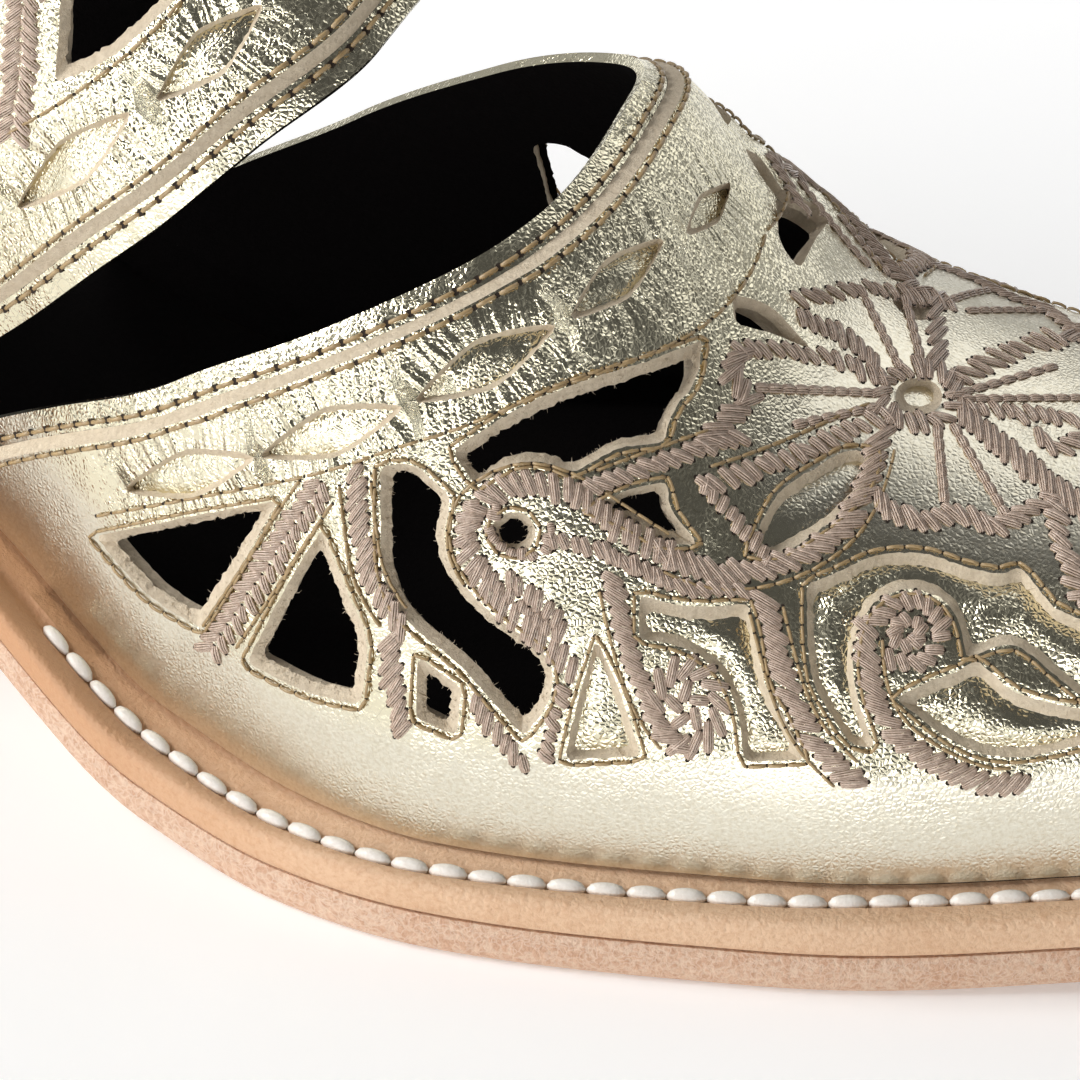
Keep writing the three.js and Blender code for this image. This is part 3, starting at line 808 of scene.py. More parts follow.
class Nodes:
    """Node tree of a material or of the world, with short ways to add to it."""

    def __init__(self, owner, shader="Principled BSDF", coords="Object"):
        owner.use_nodes = True
        self.owner = owner
        self.tree = owner.node_tree
        self.shader = self.tree.nodes[shader]
        self.coords = self.tree.nodes.new("ShaderNodeTexCoord").outputs[coords]

    def add(self, kind, inputs=None, **settings):
        node = self.tree.nodes.new(kind)
        for key, value in settings.items():
            setattr(node, key, value)
        for key, value in (inputs or {}).items():
            self.put(node.inputs[key], value)
        return node

    def put(self, socket, value):
        if isinstance(value, bpy.types.NodeSocket):
            self.tree.links.new(value, socket)
        else:
            socket.default_value = value

    def set(self, **values):
        for key, value in values.items():
            self.put(self.shader.inputs[key.replace("_", " ")], value)

    def noise(self, scale, detail=2.0, rough=0.5, distortion=0.0):
        node = self.add("ShaderNodeTexNoise", {
            "Vector": self.coords, "Scale": scale, "Detail": detail,
            "Roughness": rough, "Distortion": distortion,
        })
        return node.outputs["Fac"]

    def cells(self, scale, vector):
        """Distance to the nearest wall between cells."""
        inputs = {"Vector": vector, "Scale": scale}
        return self.add("ShaderNodeTexVoronoi", inputs, feature="DISTANCE_TO_EDGE").outputs["Distance"]

    def ramp(self, value, low, high, to_low=0.0, to_high=1.0):
        node = self.add("ShaderNodeMapRange", {
            "Value": value, "From Min": low, "From Max": high, "To Min": to_low, "To Max": to_high,
        })
        return node.outputs["Result"]

    def math(self, operation, a, b):
        return self.add("ShaderNodeMath", {0: a, 1: b}, operation=operation).outputs[0]

    def times(self, a, b):
        return self.math("MULTIPLY", a, b)

    def vector_math(self, operation, inputs):
        return self.add("ShaderNodeVectorMath", inputs, operation=operation).outputs[0]

    def blend(self, factor, a, b):
        node = self.add("ShaderNodeMix", data_type="RGBA")
        self.put(node.inputs["Factor"], factor)
        self.put(node.inputs[MIX_A], a)
        self.put(node.inputs[MIX_B], b)
        return node.outputs[MIX_RESULT]

    def attribute(self, name):
        return self.add("ShaderNodeAttribute", attribute_name=name).outputs["Fac"]

    def wobbled(self, scale, amount):
        """Coordinates pushed about by noise."""
        noise = self.add("ShaderNodeTexNoise", {"Vector": self.coords, "Scale": scale, "Detail": 2.0})
        push = self.vector_math("SUBTRACT", {0: noise.outputs["Color"], 1: (0.5, 0.5, 0.5)})
        scaled = self.vector_math("SCALE", {0: push, "Scale": amount})
        return self.vector_math("ADD", {0: self.coords, 1: scaled})

    def bump(self, height, distance, strength, normal=None):
        inputs = {"Height": height, "Distance": distance, "Strength": strength}
        if normal is not None:
            inputs["Normal"] = normal
        return self.add("ShaderNodeBump", inputs).outputs["Normal"]


def material(name):
    return Nodes(bpy.data.materials.new(name))


# Marks of the gold leather: how many to a metre, how far they wander and how deep they are, in metres
PATCHES, PEBBLES, CREASES, SPLITS, NETS = 75, 2000, 300, 900, 130
DENTS, WRINKLES, COARSE_SPOTS, SATIN_SPOTS = 150, 620, 140, 2600
PEBBLE_WANDER, CREASE_WANDER, SPLIT_WANDER = (900, 0.0004), (260, 0.006), (700, 0.0012)
DENT_DEPTH, PUCKER_DEPTH, WRINKLE_DEPTH, PEBBLE_DEPTH = 0.0009, 0.0009, 0.0003, 0.00009
# Where noise begins and ends to show as a patch, a net, a coarse spot or a satin spot
PATCH_RANGE, NET_RANGE, COARSE_RANGE, SATIN_RANGE = (0.42, 0.6), (0.42, 0.7), (0.4, 0.62), (0.4, 0.68)
CREASE_WIDTH, CREASE_WEAR = 0.018, 0.7
SPLIT_WIDTH, SPLIT_WEAR = 0.05, 0.65
PEBBLE_WALL, COARSE_LEAST, PATCH_WRINKLES = 0.4, 0.5, 0.2
DENTS_CALM, DENTS_FULL = 0.05, 0.6
PUCKERS_PER_MM = 0.9
FOIL_ROUGH, WORN_ROUGH, STRIP_ROUGH = 0.16, 0.4, 0.14


def gold_leather():
    """Foil on soft leather: pebbles, slow dents, puckers and a few dull cracks, calm on the plain strip."""
    m = material("gold_leather")
    crinkle, pucker = m.attribute("crinkle"), m.attribute("pucker")
    patch = m.ramp(m.noise(PATCHES), *PATCH_RANGE)
    pebble = m.cells(PEBBLES, m.wobbled(*PEBBLE_WANDER))
    crease = m.cells(CREASES, m.wobbled(*CREASE_WANDER))
    split = m.cells(SPLITS, m.wobbled(*SPLIT_WANDER))
    broken = m.times(m.ramp(crease, 0.0, CREASE_WIDTH, CREASE_WEAR, 0.0), m.times(patch, crinkle))
    net = m.ramp(m.noise(NETS, 3), *NET_RANGE)
    network = m.times(m.ramp(split, 0.0, SPLIT_WIDTH, SPLIT_WEAR, 0.0), net)
    worn = m.math("MAXIMUM", broken, m.times(network, crinkle))
    spot = m.ramp(m.noise(SATIN_SPOTS, 3, 0.6), *SATIN_RANGE)
    foil = m.blend(crinkle, m.blend(spot, *tones("satin")), tint("foil"))
    dull = m.ramp(worn, 0.0, 1.0, FOIL_ROUGH, WORN_ROUGH)
    rough = m.math("ADD", dull, m.ramp(crinkle, 0.0, 1.0, STRIP_ROUGH, 0.0))
    m.set(Base_Color=m.blend(worn, foil, tint("worn_foil")), Metallic=1.0, Roughness=rough)
    dents = m.bump(m.noise(DENTS, 2, 0.45), DENT_DEPTH, m.ramp(crinkle, 0.0, 1.0, DENTS_CALM, DENTS_FULL))
    folds = {"W": m.attribute("along"), "Scale": PUCKERS_PER_MM, "Detail": 1.5}
    folded = m.add("ShaderNodeTexNoise", folds, noise_dimensions="1D").outputs["Fac"]
    drawn_in = m.bump(folded, PUCKER_DEPTH, m.times(pucker, crinkle), dents)
    wrinkled = m.times(m.math("MAXIMUM", m.times(patch, PATCH_WRINKLES), pucker), crinkle)
    wrinkles = m.bump(m.noise(WRINKLES, 3, 0.55, 0.8), WRINKLE_DEPTH, wrinkled, drawn_in)
    coarse = m.times(m.ramp(m.noise(COARSE_SPOTS), *COARSE_RANGE, COARSE_LEAST, 1.0), m.attribute("grain"))
    m.set(Normal=m.bump(m.ramp(pebble, 0.0, PEBBLE_WALL), PEBBLE_DEPTH, coarse, wrinkles))
    return m.owner


FIBROUS_COLUMNS = ("name", "pair", "scale", "detail", "rough", "relief", "strength", "shine")
FIBROUS = [
    ("raw_edge", "raw", 1500, 5, 0.85, 0.0004, 0.9, 0.5),
    ("black_suede", "suede", 2200, 4, 0.95, 0.0003, 0.6, 0.15),
    ("heel_leather", "heel", 1100, 5, 0.6, 0.0003, 0.5, 0.5),
]


def fibrous(name, pair, scale, detail, rough, relief, strength, shine):
    """Leather without a finish: two tones and the relief of its fibres."""
    m = material(name)
    fibre = m.noise(scale, detail, 0.7)
    m.set(Base_Color=m.blend(fibre, *tones(pair)), Roughness=rough)
    m.set(Specular_IOR_Level=shine, Normal=m.bump(fibre, relief, strength))
    return m.owner


THREAD_TWIST, THREAD_FIBRES, THREAD_RELIEF = 1800, 5200, 0.0001
THREAD_COAT, THREAD_COAT_ROUGH = 0.45, 0.16


def thread(pair, rough):
    m = material(pair + "_thread")
    twist = m.noise(THREAD_TWIST, 3, 0.6)
    m.set(Base_Color=m.blend(twist, *tones(pair)), Roughness=rough)
    m.set(Coat_Weight=THREAD_COAT, Coat_Roughness=THREAD_COAT_ROUGH)
    m.set(Normal=m.bump(m.noise(THREAD_FIBRES), THREAD_RELIEF, 0.6))
    return m.owner


WELT_SHADE_SPAN = (-0.035, 0.02)  # painted shade: the welt darkens towards the waist between these places, in metres
# how far the painted shade darkens the welt at the waist
WELT_SHADE_DEPTH = 0.8
WELT_STAINS, WELT_PORES, WELT_PORE_RANGE, WELT_PORE_TINT = 70, 1700, (0.42, 0.7), 0.5
WELT_RELIEF = 0.0004


def welt_leather():
    m = material("welt_leather")
    pore = m.noise(WELT_PORES, 4, 0.65)
    fresh = m.blend(m.noise(WELT_STAINS, 3), *tones("welt"))
    along = m.add("ShaderNodeSeparateXYZ", {0: m.coords}).outputs["X"]
    # painted shade: the welt's colour darkens towards the waist
    body = m.blend(m.ramp(along, *WELT_SHADE_SPAN, WELT_SHADE_DEPTH, 0.0), fresh, tint("welt_painted_shade"))
    tinted = m.blend(m.ramp(pore, *WELT_PORE_RANGE, 0.0, WELT_PORE_TINT), body, tint("welt_pore"))
    m.set(Base_Color=tinted, Roughness=0.55, Normal=m.bump(pore, WELT_RELIEF, 0.6))
    return m.owner


SOLE_PORES, SOLE_LAYERS, SOLE_PORE_RANGE, SOLE_PORE_TINT = 1300, 160, (0.42, 0.66), 0.7
SOLE_FIBRES, SOLE_WANDER, SOLE_FIBRE_WIDTH, SOLE_FIBRE_TINT = 1000, (420, 0.005), 0.16, 0.5
SOLE_RELIEF = 0.0007


def sole_leather():
    m = material("sole_leather")
    pore = m.noise(SOLE_PORES, 5, 0.7)
    body = m.blend(m.noise(SOLE_LAYERS, 3), *tones("sole"))
    dusty = m.blend(m.ramp(pore, *SOLE_PORE_RANGE, 0.0, SOLE_PORE_TINT), body, tint("sole_pore"))
    wall = m.cells(SOLE_FIBRES, m.wobbled(*SOLE_WANDER))
    fibre = m.ramp(wall, 0.0, SOLE_FIBRE_WIDTH, SOLE_FIBRE_TINT, 0.0)
    m.set(Base_Color=m.blend(fibre, dusty, tint("sole_fibre")), Roughness=0.75)
    m.set(Normal=m.bump(pore, SOLE_RELIEF, 0.8))
    return m.owner


PLAIN_GRAIN, PLAIN_RELIEF = 900, 0.0002


def plain(name, rough):
    m = material(name)
    m.set(Base_Color=tint(name), Roughness=rough)
    m.set(Normal=m.bump(m.noise(PLAIN_GRAIN, 3), PLAIN_RELIEF, 0.3))
    return m.owner


GOLD = gold_leather()
RAW, SUEDE, HEEL_SKIN = (fibrous(**row) for row in named(FIBROUS_COLUMNS, FIBROUS))
MAUVE = thread("mauve", 0.26)
TAN = thread("tan", 0.42)
WHITE_THREAD = thread("white", 0.55)
WELT_SKIN = welt_leather()
SOLE_SKIN = sole_leather()
RUBBER = plain("top_rubber", 0.75)
# painted shade inside the needle holes
HOLE_SHADE = plain("needle_hole_shade", 0.9)

# Upper
FACE_EDGE, UNDER_EDGE = 3.7, 2.6  # where the outer leather's slanted edge begins and ends below the topline
BINDING_TURN = 0.5
OUTER_LOOK = [GOLD, RAW, SUEDE, RAW]
UNDER_LOOK = [GOLD, RAW, SUEDE, GOLD]
# Size of the triangles of each sheet
VAMP_STEP, VAMP_UNDER_STEP, CUFF_STEP, CUFF_UNDER_STEP = 1.3, 1.2, 1.5, 1.6
TOE_PLACE = 1.0


def dressed(piece, node):
    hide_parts(node)


def outer_leather(node, edge_at, cuts, step):
    """Outer leather with a slanted edge, cut away at its windows and inlays."""
    edges = (edge_at(FACE_EDGE), edge_at(UNDER_EDGE))
    dressed(sheet(f"{node}_leather", edges, cuts, 0.0, LEATHER, step, OUTER_LOOK), node)


def under_leather(node, edge, holes, step, filled):
    """Leather under the outer one, open at the windows and swelling into the inlays."""
    cuts = [(face, face) for face in holes]
    layer = (-UNDERLAY_DEPTH, UNDERLAY, step, UNDER_LOOK, BINDING_TURN, filled)
    dressed(sheet(f"{node}_leather", (edge, edge), cuts, *layer), node)


def vamp_face_edge(offset):
    return vamp_edge(offset, TOE_PLACE, FEATHER_ANGLE)


outer_leather("vamp", vamp_face_edge, vamp_open + vamp_inlays, VAMP_STEP)

FAR_THROUGH = ("scroll", "comma")  # windows that also go through the underlay on the inner side
far_through = [inner_side(near_open[list(OPEN_WINDOWS).index(name)][0]) for name in FAR_THROUGH]
under_edge = vamp_edge(0.0, float(place_of(UNDERLAY_FRONT)), UNDERLAY_FOOT)
under_holes = [face for face, _ in near_open] + far_through
under_leather("vamp_underlay", under_edge, under_holes, VAMP_UNDER_STEP, vamp_inlays)

outer_leather("cuff", cuff_edge, cuff_open + cuff_inlays, CUFF_STEP)
cuff_holes = [face for face, _ in cuff_open]
under_leather("cuff_underlay", cuff_edge(0.0), cuff_holes, CUFF_UNDER_STEP, cuff_inlays)


# Thread
def tubes(paths, ups, radius, sides=5):
    """Vertices and quads of tubes along paths of equal length."""
    paths = np.asarray(paths, float)
    n, k, _ = paths.shape
    tangent = unit(np.gradient(paths, axis=1))
    ups = np.broadcast_to(np.asarray(ups)[:, None, :], paths.shape)
    side = unit(np.cross(tangent, ups))
    up = np.cross(side, tangent)
    turn = np.linspace(0, 2 * np.pi, sides, endpoint=False)
    radius = np.broadcast_to(np.asarray(radius, float), (n, k))[:, :, None, None]
    ring = side[:, :, None] * np.cos(turn)[:, None] + up[:, :, None] * np.sin(turn)[:, None]
    verts = (paths[:, :, None] + ring * radius).reshape(-1, 3)
    base = (np.arange(n)[:, None, None] * k + np.arange(k - 1)[None, :, None]) * sides
    a = base + np.arange(sides)
    b = base + (np.arange(sides) + 1) % sides
    quads = np.stack([a, b, b + sides, a + sides], -1).reshape(-1, 4)
    return verts, quads


THREAD_WIDTH = 6.0  # pixels that the thread itself adds to a rope
# Height of a stitch along its length
ARCH_AT = np.array([0.0, 0.06, 0.34, 0.66, 0.94, 1.0])
ARCH = np.array([-0.3, 0.2, 0.36, 0.36, 0.2, -0.3])
SPREAD, SPREAD_LIFT = 0.2, 0.6  # millimetres between strands, and how much the middle ones lie higher
FAN_ENDS, FAN_MIDDLE = 0.8, 0.25  # strands spread more in the middle of a stitch


def stitches(starts, ends, rise, strands=1):
    """Paths of stitches between spots: out of the leather, along it as a round bundle and in again."""
    a, b = on_skin(starts), on_skin(ends)
    normal = skin_normal(*((np.asarray(starts) + np.asarray(ends)) / 2).T)
    t = ARCH_AT
    path = a[:, None] + (b - a)[:, None] * t[:, None] + normal[:, None] * (ARCH * rise)[:, None]
    side = unit(np.cross(b - a, normal))
    offsets = (np.arange(strands) - (strands - 1) / 2) * SPREAD
    lift = (SPREAD - np.abs(offsets)) * SPREAD_LIFT
    fan = np.sin(np.pi * t) * FAN_MIDDLE + FAN_ENDS
    paths = path[:, None] + side[:, None, None] * (offsets[:, None] * fan)[None, :, :, None]
    paths = paths + normal[:, None, None] * (lift[:, None] * fan)[None, :, :, None]
    return paths.reshape(-1, len(ARCH), 3), np.repeat(normal, strands, 0)


ROPE_PITCH, ROPE_JITTER = 12.0, 1.8


def rope(points, width, lean, pitch=ROPE_PITCH, herringbone=False):
    """Pixels of slanted stitches across a route: starts and ends."""
    width = width - THREAD_WIDTH
    line = flow(points, pitch)
    tangent = tangents(line)
    normal = quarter_turn(tangent)
    slant = math.tan(math.radians(lean)) * width / 2
    jitter = random.normal(0, ROPE_JITTER, (4, len(line), 1))
    if herringbone:
        middle = line + normal * jitter[0] * 0.5
        left = line - normal * (width / 2 + jitter[1]) + tangent * slant
        right = line + normal * (width / 2 + jitter[2]) + tangent * slant
        return np.concatenate([middle, middle]), np.concatenate([left, right])
    starts = line - normal * (width / 2 + jitter[0]) - tangent * (slant + jitter[2])
    ends = line + normal * (width / 2 + jitter[1]) + tangent * (slant + jitter[3])
    return starts, ends


RAY_STITCH, RAY_GAP = 13, 1


def running(points):
    """Pixels of stitches along a route."""
    line = flow(points, RAY_STITCH + RAY_GAP)
    half = tangents(line) * RAY_STITCH / 2
    return line - half, line + half


# Satin ropes: width, lean and route in pixels
ROPES = {
    "second_post": (26, 45, [(354, 474), (361, 530), (366, 570), (384, 604), (400, 626)]),
    "second_post_foot": (24, 45, [(390, 640), (393, 680), (402, 732)]),
    "small_foot": (22, 45, [(474, 702), (498, 738), (522, 762)]),
    "brow": (32, 25, [
        (486, 584), (464, 548), (469, 512), (494, 490), (528, 480), (562, 488), (594, 508), (630, 532),
        (668, 556),
    ]),
    "stem": (28, 45, [
        (660, 552), (710, 574), (760, 572), (806, 556), (842, 530), (862, 500), (874, 465), (880, 436),
    ]),
    "stem_low": (20, 45, [(604, 552), (640, 570), (690, 590), (740, 590)]),
    "cheek": (30, 30, [(488, 590), (518, 618), (546, 645), (570, 668)]),
    "cheek_low": (24, 30, [(512, 580), (540, 602), (562, 628)]),
    "neck": (24, -45, [(612, 578), (621, 620), (633, 668), (652, 715), (680, 748)]),
    "collar": (20, -30, [(560, 690), (554, 725), (546, 758)]),
    "brow_in": (20, 25, [(474, 506), (464, 535), (480, 567), (504, 590), (528, 610), (556, 636)]),
    "brow_low": (20, 35, [(552, 540), (592, 546), (630, 566), (662, 580)]),
    "eye_ring": (16, 20, [(497, 506), (488, 531), (504, 551), (526, 558), (546, 549), (550, 528)]),
    "branch": (24, 45, [(592, 488), (640, 470), (690, 452), (738, 436)]),
    "leaf_top": (28, 30, [(706, 486), (755, 470), (806, 450), (850, 430), (886, 416)]),
    "leaf_back": (22, 30, [(706, 486), (730, 512), (752, 540), (770, 562)]),
    "petal_left_top": (22, 45, [(738, 350), (790, 350), (840, 362), (884, 378)]),
    "petal_left_tip": (28, 45, [(742, 352), (728, 376), (752, 398), (724, 420), (704, 446)]),
    "petal_up_left": (22, 45, [(800, 318), (840, 332), (878, 364)]),
    "petal_up": (22, 45, [(800, 300), (856, 288), (905, 292), (950, 302)]),
    "petal_up_right": (28, 45, [(936, 300), (936, 330), (938, 362)]),
    "petal_right_top": (28, 45, [(960, 378), (1010, 352), (1056, 338)]),
    "petal_right": (34, 45, [(960, 412), (1010, 452), (1060, 492), (1090, 512)]),
    "petal_right_mid": (20, 45, [(972, 408), (1030, 416), (1090, 420)]),
    "petal_low": (26, 45, [
        (878, 500), (905, 520), (938, 520), (962, 512), (998, 528), (1030, 508), (1048, 498),
    ]),
    "bud": (24, 45, [(1040, 440), (1062, 452), (1090, 430)]),
    "right_edge": (26, -45, [(1056, 505), (1062, 545), (1078, 592), (1092, 600)]),
    "leaf_rope": (28, -45, [(764, 600), (776, 650), (790, 700), (812, 742), (854, 782)]),
    "crescent_rope": (26, -45, [(866, 630), (868, 680), (886, 728), (930, 762), (985, 785), (1022, 784)]),
}
HERRINGBONE = {"post": (34, 40, [(322, 484), (290, 530), (255, 585), (214, 646)])}
CUFF_HERRINGBONE = {"cuff_post": (40, 40, [(30, -30), (20, 20), (22, 70), (12, 130)])}
# Rays of the flower: routes in pixels
RAYS = [
    [(862, 292), (898, 364)],
    [(906, 302), (922, 364)],
    [(762, 388), (868, 393)],
    [(800, 424), (872, 408)],
    [(966, 392), (1050, 368)],
    [(968, 399), (1090, 398)],
    [(938, 432), (944, 496)],
    [(956, 430), (1004, 512)],
]
WHEEL = (687, 707)
WHEEL_SQUASH = 0.84
# Stitches of the wheel: how many, and radius and turn at both ends
WHEEL_COLUMNS = ("count", "near", "far", "turn", "far_turn")
WHEEL_RINGS = [(5, 8, 27, 0, 60), (13, 29, 53, 0, 34)]
SCROLL = (908, 632)
# Ropes that run round: radii and turn in degrees of their route
RING_COLUMNS = ("centre", "radii", "start", "stop", "width", "pitch")
RINGS = [
    (FLOWER, (38, 28), 0, 350, 24, ROPE_PITCH),
    (SCROLL, (34, 32), 200, 480, 24, ROPE_PITCH),
    (SCROLL, (13, 12), 60, 390, 18, 9.0),
]
RING_LEAN, RING_POINTS = 30, 24


def ring(centre, radii, start, stop, width, pitch):
    route = around(centre, radii, np.linspace(start, stop, RING_POINTS))
    return rope(route, width, RING_LEAN, pitch)


def wheel_ring(count, near, far, turn, far_turn):
    """Stitches that turn about the wheel's middle: starts and ends."""
    arms = np.arange(count) * 360 / count
    ends = ((near, turn), (far, far_turn))
    return [around(WHEEL, (radius * WHEEL_SQUASH, radius), arms + degrees) for radius, degrees in ends]


def ropes(table, herringbone=False):
    return [rope(route, width, lean, herringbone=herringbone) for width, lean, route in table.values()]


def joined(pairs):
    return [np.concatenate(side) for side in zip(*pairs)]


def embroidery():
    """Pixels of all embroidery stitches: starts and ends."""
    pairs = ropes(ROPES) + ropes(HERRINGBONE, herringbone=True)
    pairs += [ring(**row) for row in named(RING_COLUMNS, RINGS)]
    pairs += [running(route) for route in RAYS]
    pairs += [wheel_ring(**row) for row in named(WHEEL_COLUMNS, WHEEL_RINGS)]
    return joined(pairs)


STITCH_RISE, STRAND, STRANDS = 0.75, 0.1, 5
LONGEST_STITCH = 4.2
INNER_START = -12.0  # ornament nearer to the ridge than this angle has no image on the inner side


def thread_piece(name, starts, ends):
    paths, ups = stitches(starts, ends, STITCH_RISE, STRANDS)
    verts, quads = tubes(paths, ups, STRAND)
    piece = add_mesh(name, to_frame(verts), quads, [MAUVE])


def shortened(starts, ends):
    """Stitches no longer than the thread would lie well, kept about their middles."""
    length = np.linalg.norm(on_skin(ends) - on_skin(starts), axis=1)
    middle = (starts + ends) / 2
    half = (ends - starts) / 2 * np.minimum(1, LONGEST_STITCH / length)[:, None]
    return middle - half, middle + half


starts, ends = shortened(*(cast(p) for p in embroidery()))
thread_piece("embroidery_outer", starts, ends)
far = np.maximum(starts[:, 1], ends[:, 1]) < INNER_START
far_starts, far_ends = inner_side(ends[far]), inner_side(starts[far])
thread_piece("embroidery_inner", far_starts, far_ends)

cuff_starts, cuff_ends = (cast(side) for side in joined(ropes(CUFF_HERRINGBONE, herringbone=True)))
thread_piece(
    "embroidery_cuff",
    np.concatenate([cuff_starts, mirrored(cuff_ends)]),
    np.concatenate([cuff_ends, mirrored(cuff_starts)]),
)


def seam(spots, pitch, length):
    """Stitches along a line of spots, at an even pitch in millimetres: starts, ends and needle holes."""
    run = run_along(on_skin(spots))
    pitch = run[-1] / max(round(run[-1] / pitch), 1)
    middle = np.arange(pitch / 2, run[-1], pitch)

    def at(distance):
        return np.stack([np.interp(distance, run, spots[:, k]) for k in range(2)], -1)

    return at(middle - length / 2), at(middle + length / 2), at(middle - pitch / 2)


SEAM_PITCH, SEAM_LENGTH, SEAM_SINK = 2.4, 1.75, 0.06
OUTLINE_PITCH, OUTLINE_LENGTH = 1.8, 1.5
ROW_OFFSETS = (1.9, 4.15)
SEAM_FOOT = 88  # degrees down from the ridge where the topline's rows end


def seam_rows():
    """Rows of stitches along the toplines, with their depth."""
    rows = []
    for offset in ROW_OFFSETS:
        depth = -UNDERLAY_DEPTH if offset < UNDER_EDGE else 0.0
        lines = [rim_spots(offset, SEAM_FOOT)]
        for collar in (False, True):
            line = cuff_line(offset, collar)
            lines += [line, mirrored(line)]
        rows += [(seam(line, SEAM_PITCH, SEAM_LENGTH), depth) for line in lines]
    return rows


BAND_FOOT = [
    (96, 516), (200, 497), (300, 478), (345, 466), (400, 446), (445, 434), (500, 412), (560, 386),
    (610, 370), (660, 350), (700, 330), (735, 298), (757, 262), (768, 225), (768, 190), (758, 165),
]
CUFF_BAND_TOP = [(4, 136), (60, 104), (120, 62), (165, 20), (200, -20)]


def outline_seam(spots):
    return seam(spots, OUTLINE_PITCH, OUTLINE_LENGTH), 0.0


def band_rows():
    """Rows of stitches along the foot of each band and round each cut."""
    rows = []
    for route in (BAND_FOOT, CUFF_BAND_TOP):
        spots = cast(flow(route, OUTLINE_STEP))
        spots = spots[spots[:, 1] < 0]
        rows += [(seam(side, SEAM_PITCH, SEAM_LENGTH), 0.0) for side in (spots, mirrored(spots))]
    sided = [*zip(open_corners, open_margins), *((corners, INLAY_MARGIN) for corners in INLAYS.values())]
    for corners, sides in sided:
        loop = rounded(widened(corners, np.array(sides) + THREAD_GAP))
        spots = cast(resample(loop, OUTLINE_STEP, closed=True))
        spots = np.concatenate([spots, spots[:1]])
        rows.append(outline_seam(spots))
        if spots[:, 1].max() < -RIDGE_ZONE:
            rows.append(outline_seam(inner_side(spots)))
    return rows


# Ropes with a row of fine stitches along them: which sides of the route
SEAMED_ROPES = [
    ("brow", (-1,)),
    ("stem", (1,)),
    ("leaf_rope", (-1, 1)),
    ("neck", (1,)),
    ("second_post", (1, -1)),
    ("leaf_top", (-1,)),
    ("branch", (-1,)),
    ("crescent_rope", (-1,)),
    ("post", (1, -1)),
]
SEAM_SHORTER = 2  # steps of the outline that a seam stops short of its rope's ends
ROPE_GAP = 3  # pixels between a rope and the seam beside it


def rope_rows():
    """Rows of fine stitches beside the ropes."""
    rows = []
    for name, sides in SEAMED_ROPES:
        width, _, route = (ROPES | HERRINGBONE)[name]
        line = flow(route, OUTLINE_STEP)
        normal = quarter_turn(tangents(line))
        for side in sides:
            beside = line + normal * side * (width / 2 + ROPE_GAP)
            spots = cast(beside[SEAM_SHORTER:-SEAM_SHORTER])
            rows += [outline_seam(image) for image in (spots, inner_side(spots))]
    return rows


def seam_piece(name, rows, radius, rise):
    paths, ups = [], []
    for (a, b, _), depth in rows:
        path, up = stitches(a, b, rise)
        paths.append(path + up[:, None] * (depth - SEAM_SINK))
        ups.append(up)
    verts, quads = tubes(np.concatenate(paths), np.concatenate(ups), radius)
    piece = add_mesh(name, to_frame(verts), quads, [TAN])


HOLE_SIDES, HOLE_LIFT = 8, 0.04
NO_NORMAL = (1.0, 0.2, 0.1)  # no leather with holes faces this way


def hole_shade_piece(name, rows, radius):
    """Needle holes: flat dark discs at spots of the leather, with their depth, painted shade of the holes.
    """
    rings = []
    turn = np.linspace(0, 2 * np.pi, HOLE_SIDES, endpoint=False)[:, None]
    for spots, depth in rows:
        centre, normal = on_skin(spots, depth + HOLE_LIFT), skin_normal(*spots.T)
        u = unit(np.cross(normal, NO_NORMAL))
        v = np.cross(normal, u)
        ring = centre[:, None] + radius * (u[:, None] * np.cos(turn) + v[:, None] * np.sin(turn))
        rings.append(ring.reshape(-1, 3))
    verts = np.concatenate(rings)
    faces = np.arange(len(verts)).reshape(-1, HOLE_SIDES)
    piece = add_mesh(name, to_frame(verts), faces, [HOLE_SHADE], smooth=False)


def needle_holes(rows):
    return [(spots, depth) for (_, _, spots), depth in rows]


# Radius and rise of the sewn threads, and radii of their holes
TOPLINE_THREAD, OUTLINE_THREAD = (0.22, 0.45), (0.16, 0.4)
BINDING_HOLE, TOPLINE_HOLE, OUTLINE_HOLE, EMBROIDERY_HOLE = 0.4, 0.28, 0.17, 0.24
topline_rows, outline_rows = seam_rows(), band_rows() + rope_rows()
seam_piece("topline_stitches", topline_rows, *TOPLINE_THREAD)
seam_piece("outline_stitches", outline_rows, *OUTLINE_THREAD)
# dark discs: painted shade inside the needle holes
topline_needles = needle_holes(topline_rows)
hole_shade_piece("binding_hole_shade", [row for row in topline_needles if row[1] < 0], BINDING_HOLE)
hole_shade_piece("topline_hole_shade", [row for row in topline_needles if row[1] == 0], TOPLINE_HOLE)
hole_shade_piece("outline_hole_shade", needle_holes(outline_rows), OUTLINE_HOLE)
embroidery_needles = np.concatenate([starts, ends, far_starts, far_ends])
hole_shade_piece("embroidery_hole_shade", [(embroidery_needles, 0.0)], EMBROIDERY_HOLE)


FIBRE_PER_MM, FIBRE_LENGTH, FIBRE_WIDTH = 6.0, 0.6, 0.03
FIBRE_LENGTHS = (0.3, 1.0)  # shares of the longest
FIBRE_ROOT = 0.1
FIBRE_CLIMB = 0.7  # share of the cut's height on which hairs grow
FIBRE_STRAY, FIBRE_BEND = 0.55, 0.25
FIBRE_TAPER, FIBRE_SIDES = np.array([1.0, 0.8, 0.3]), 3


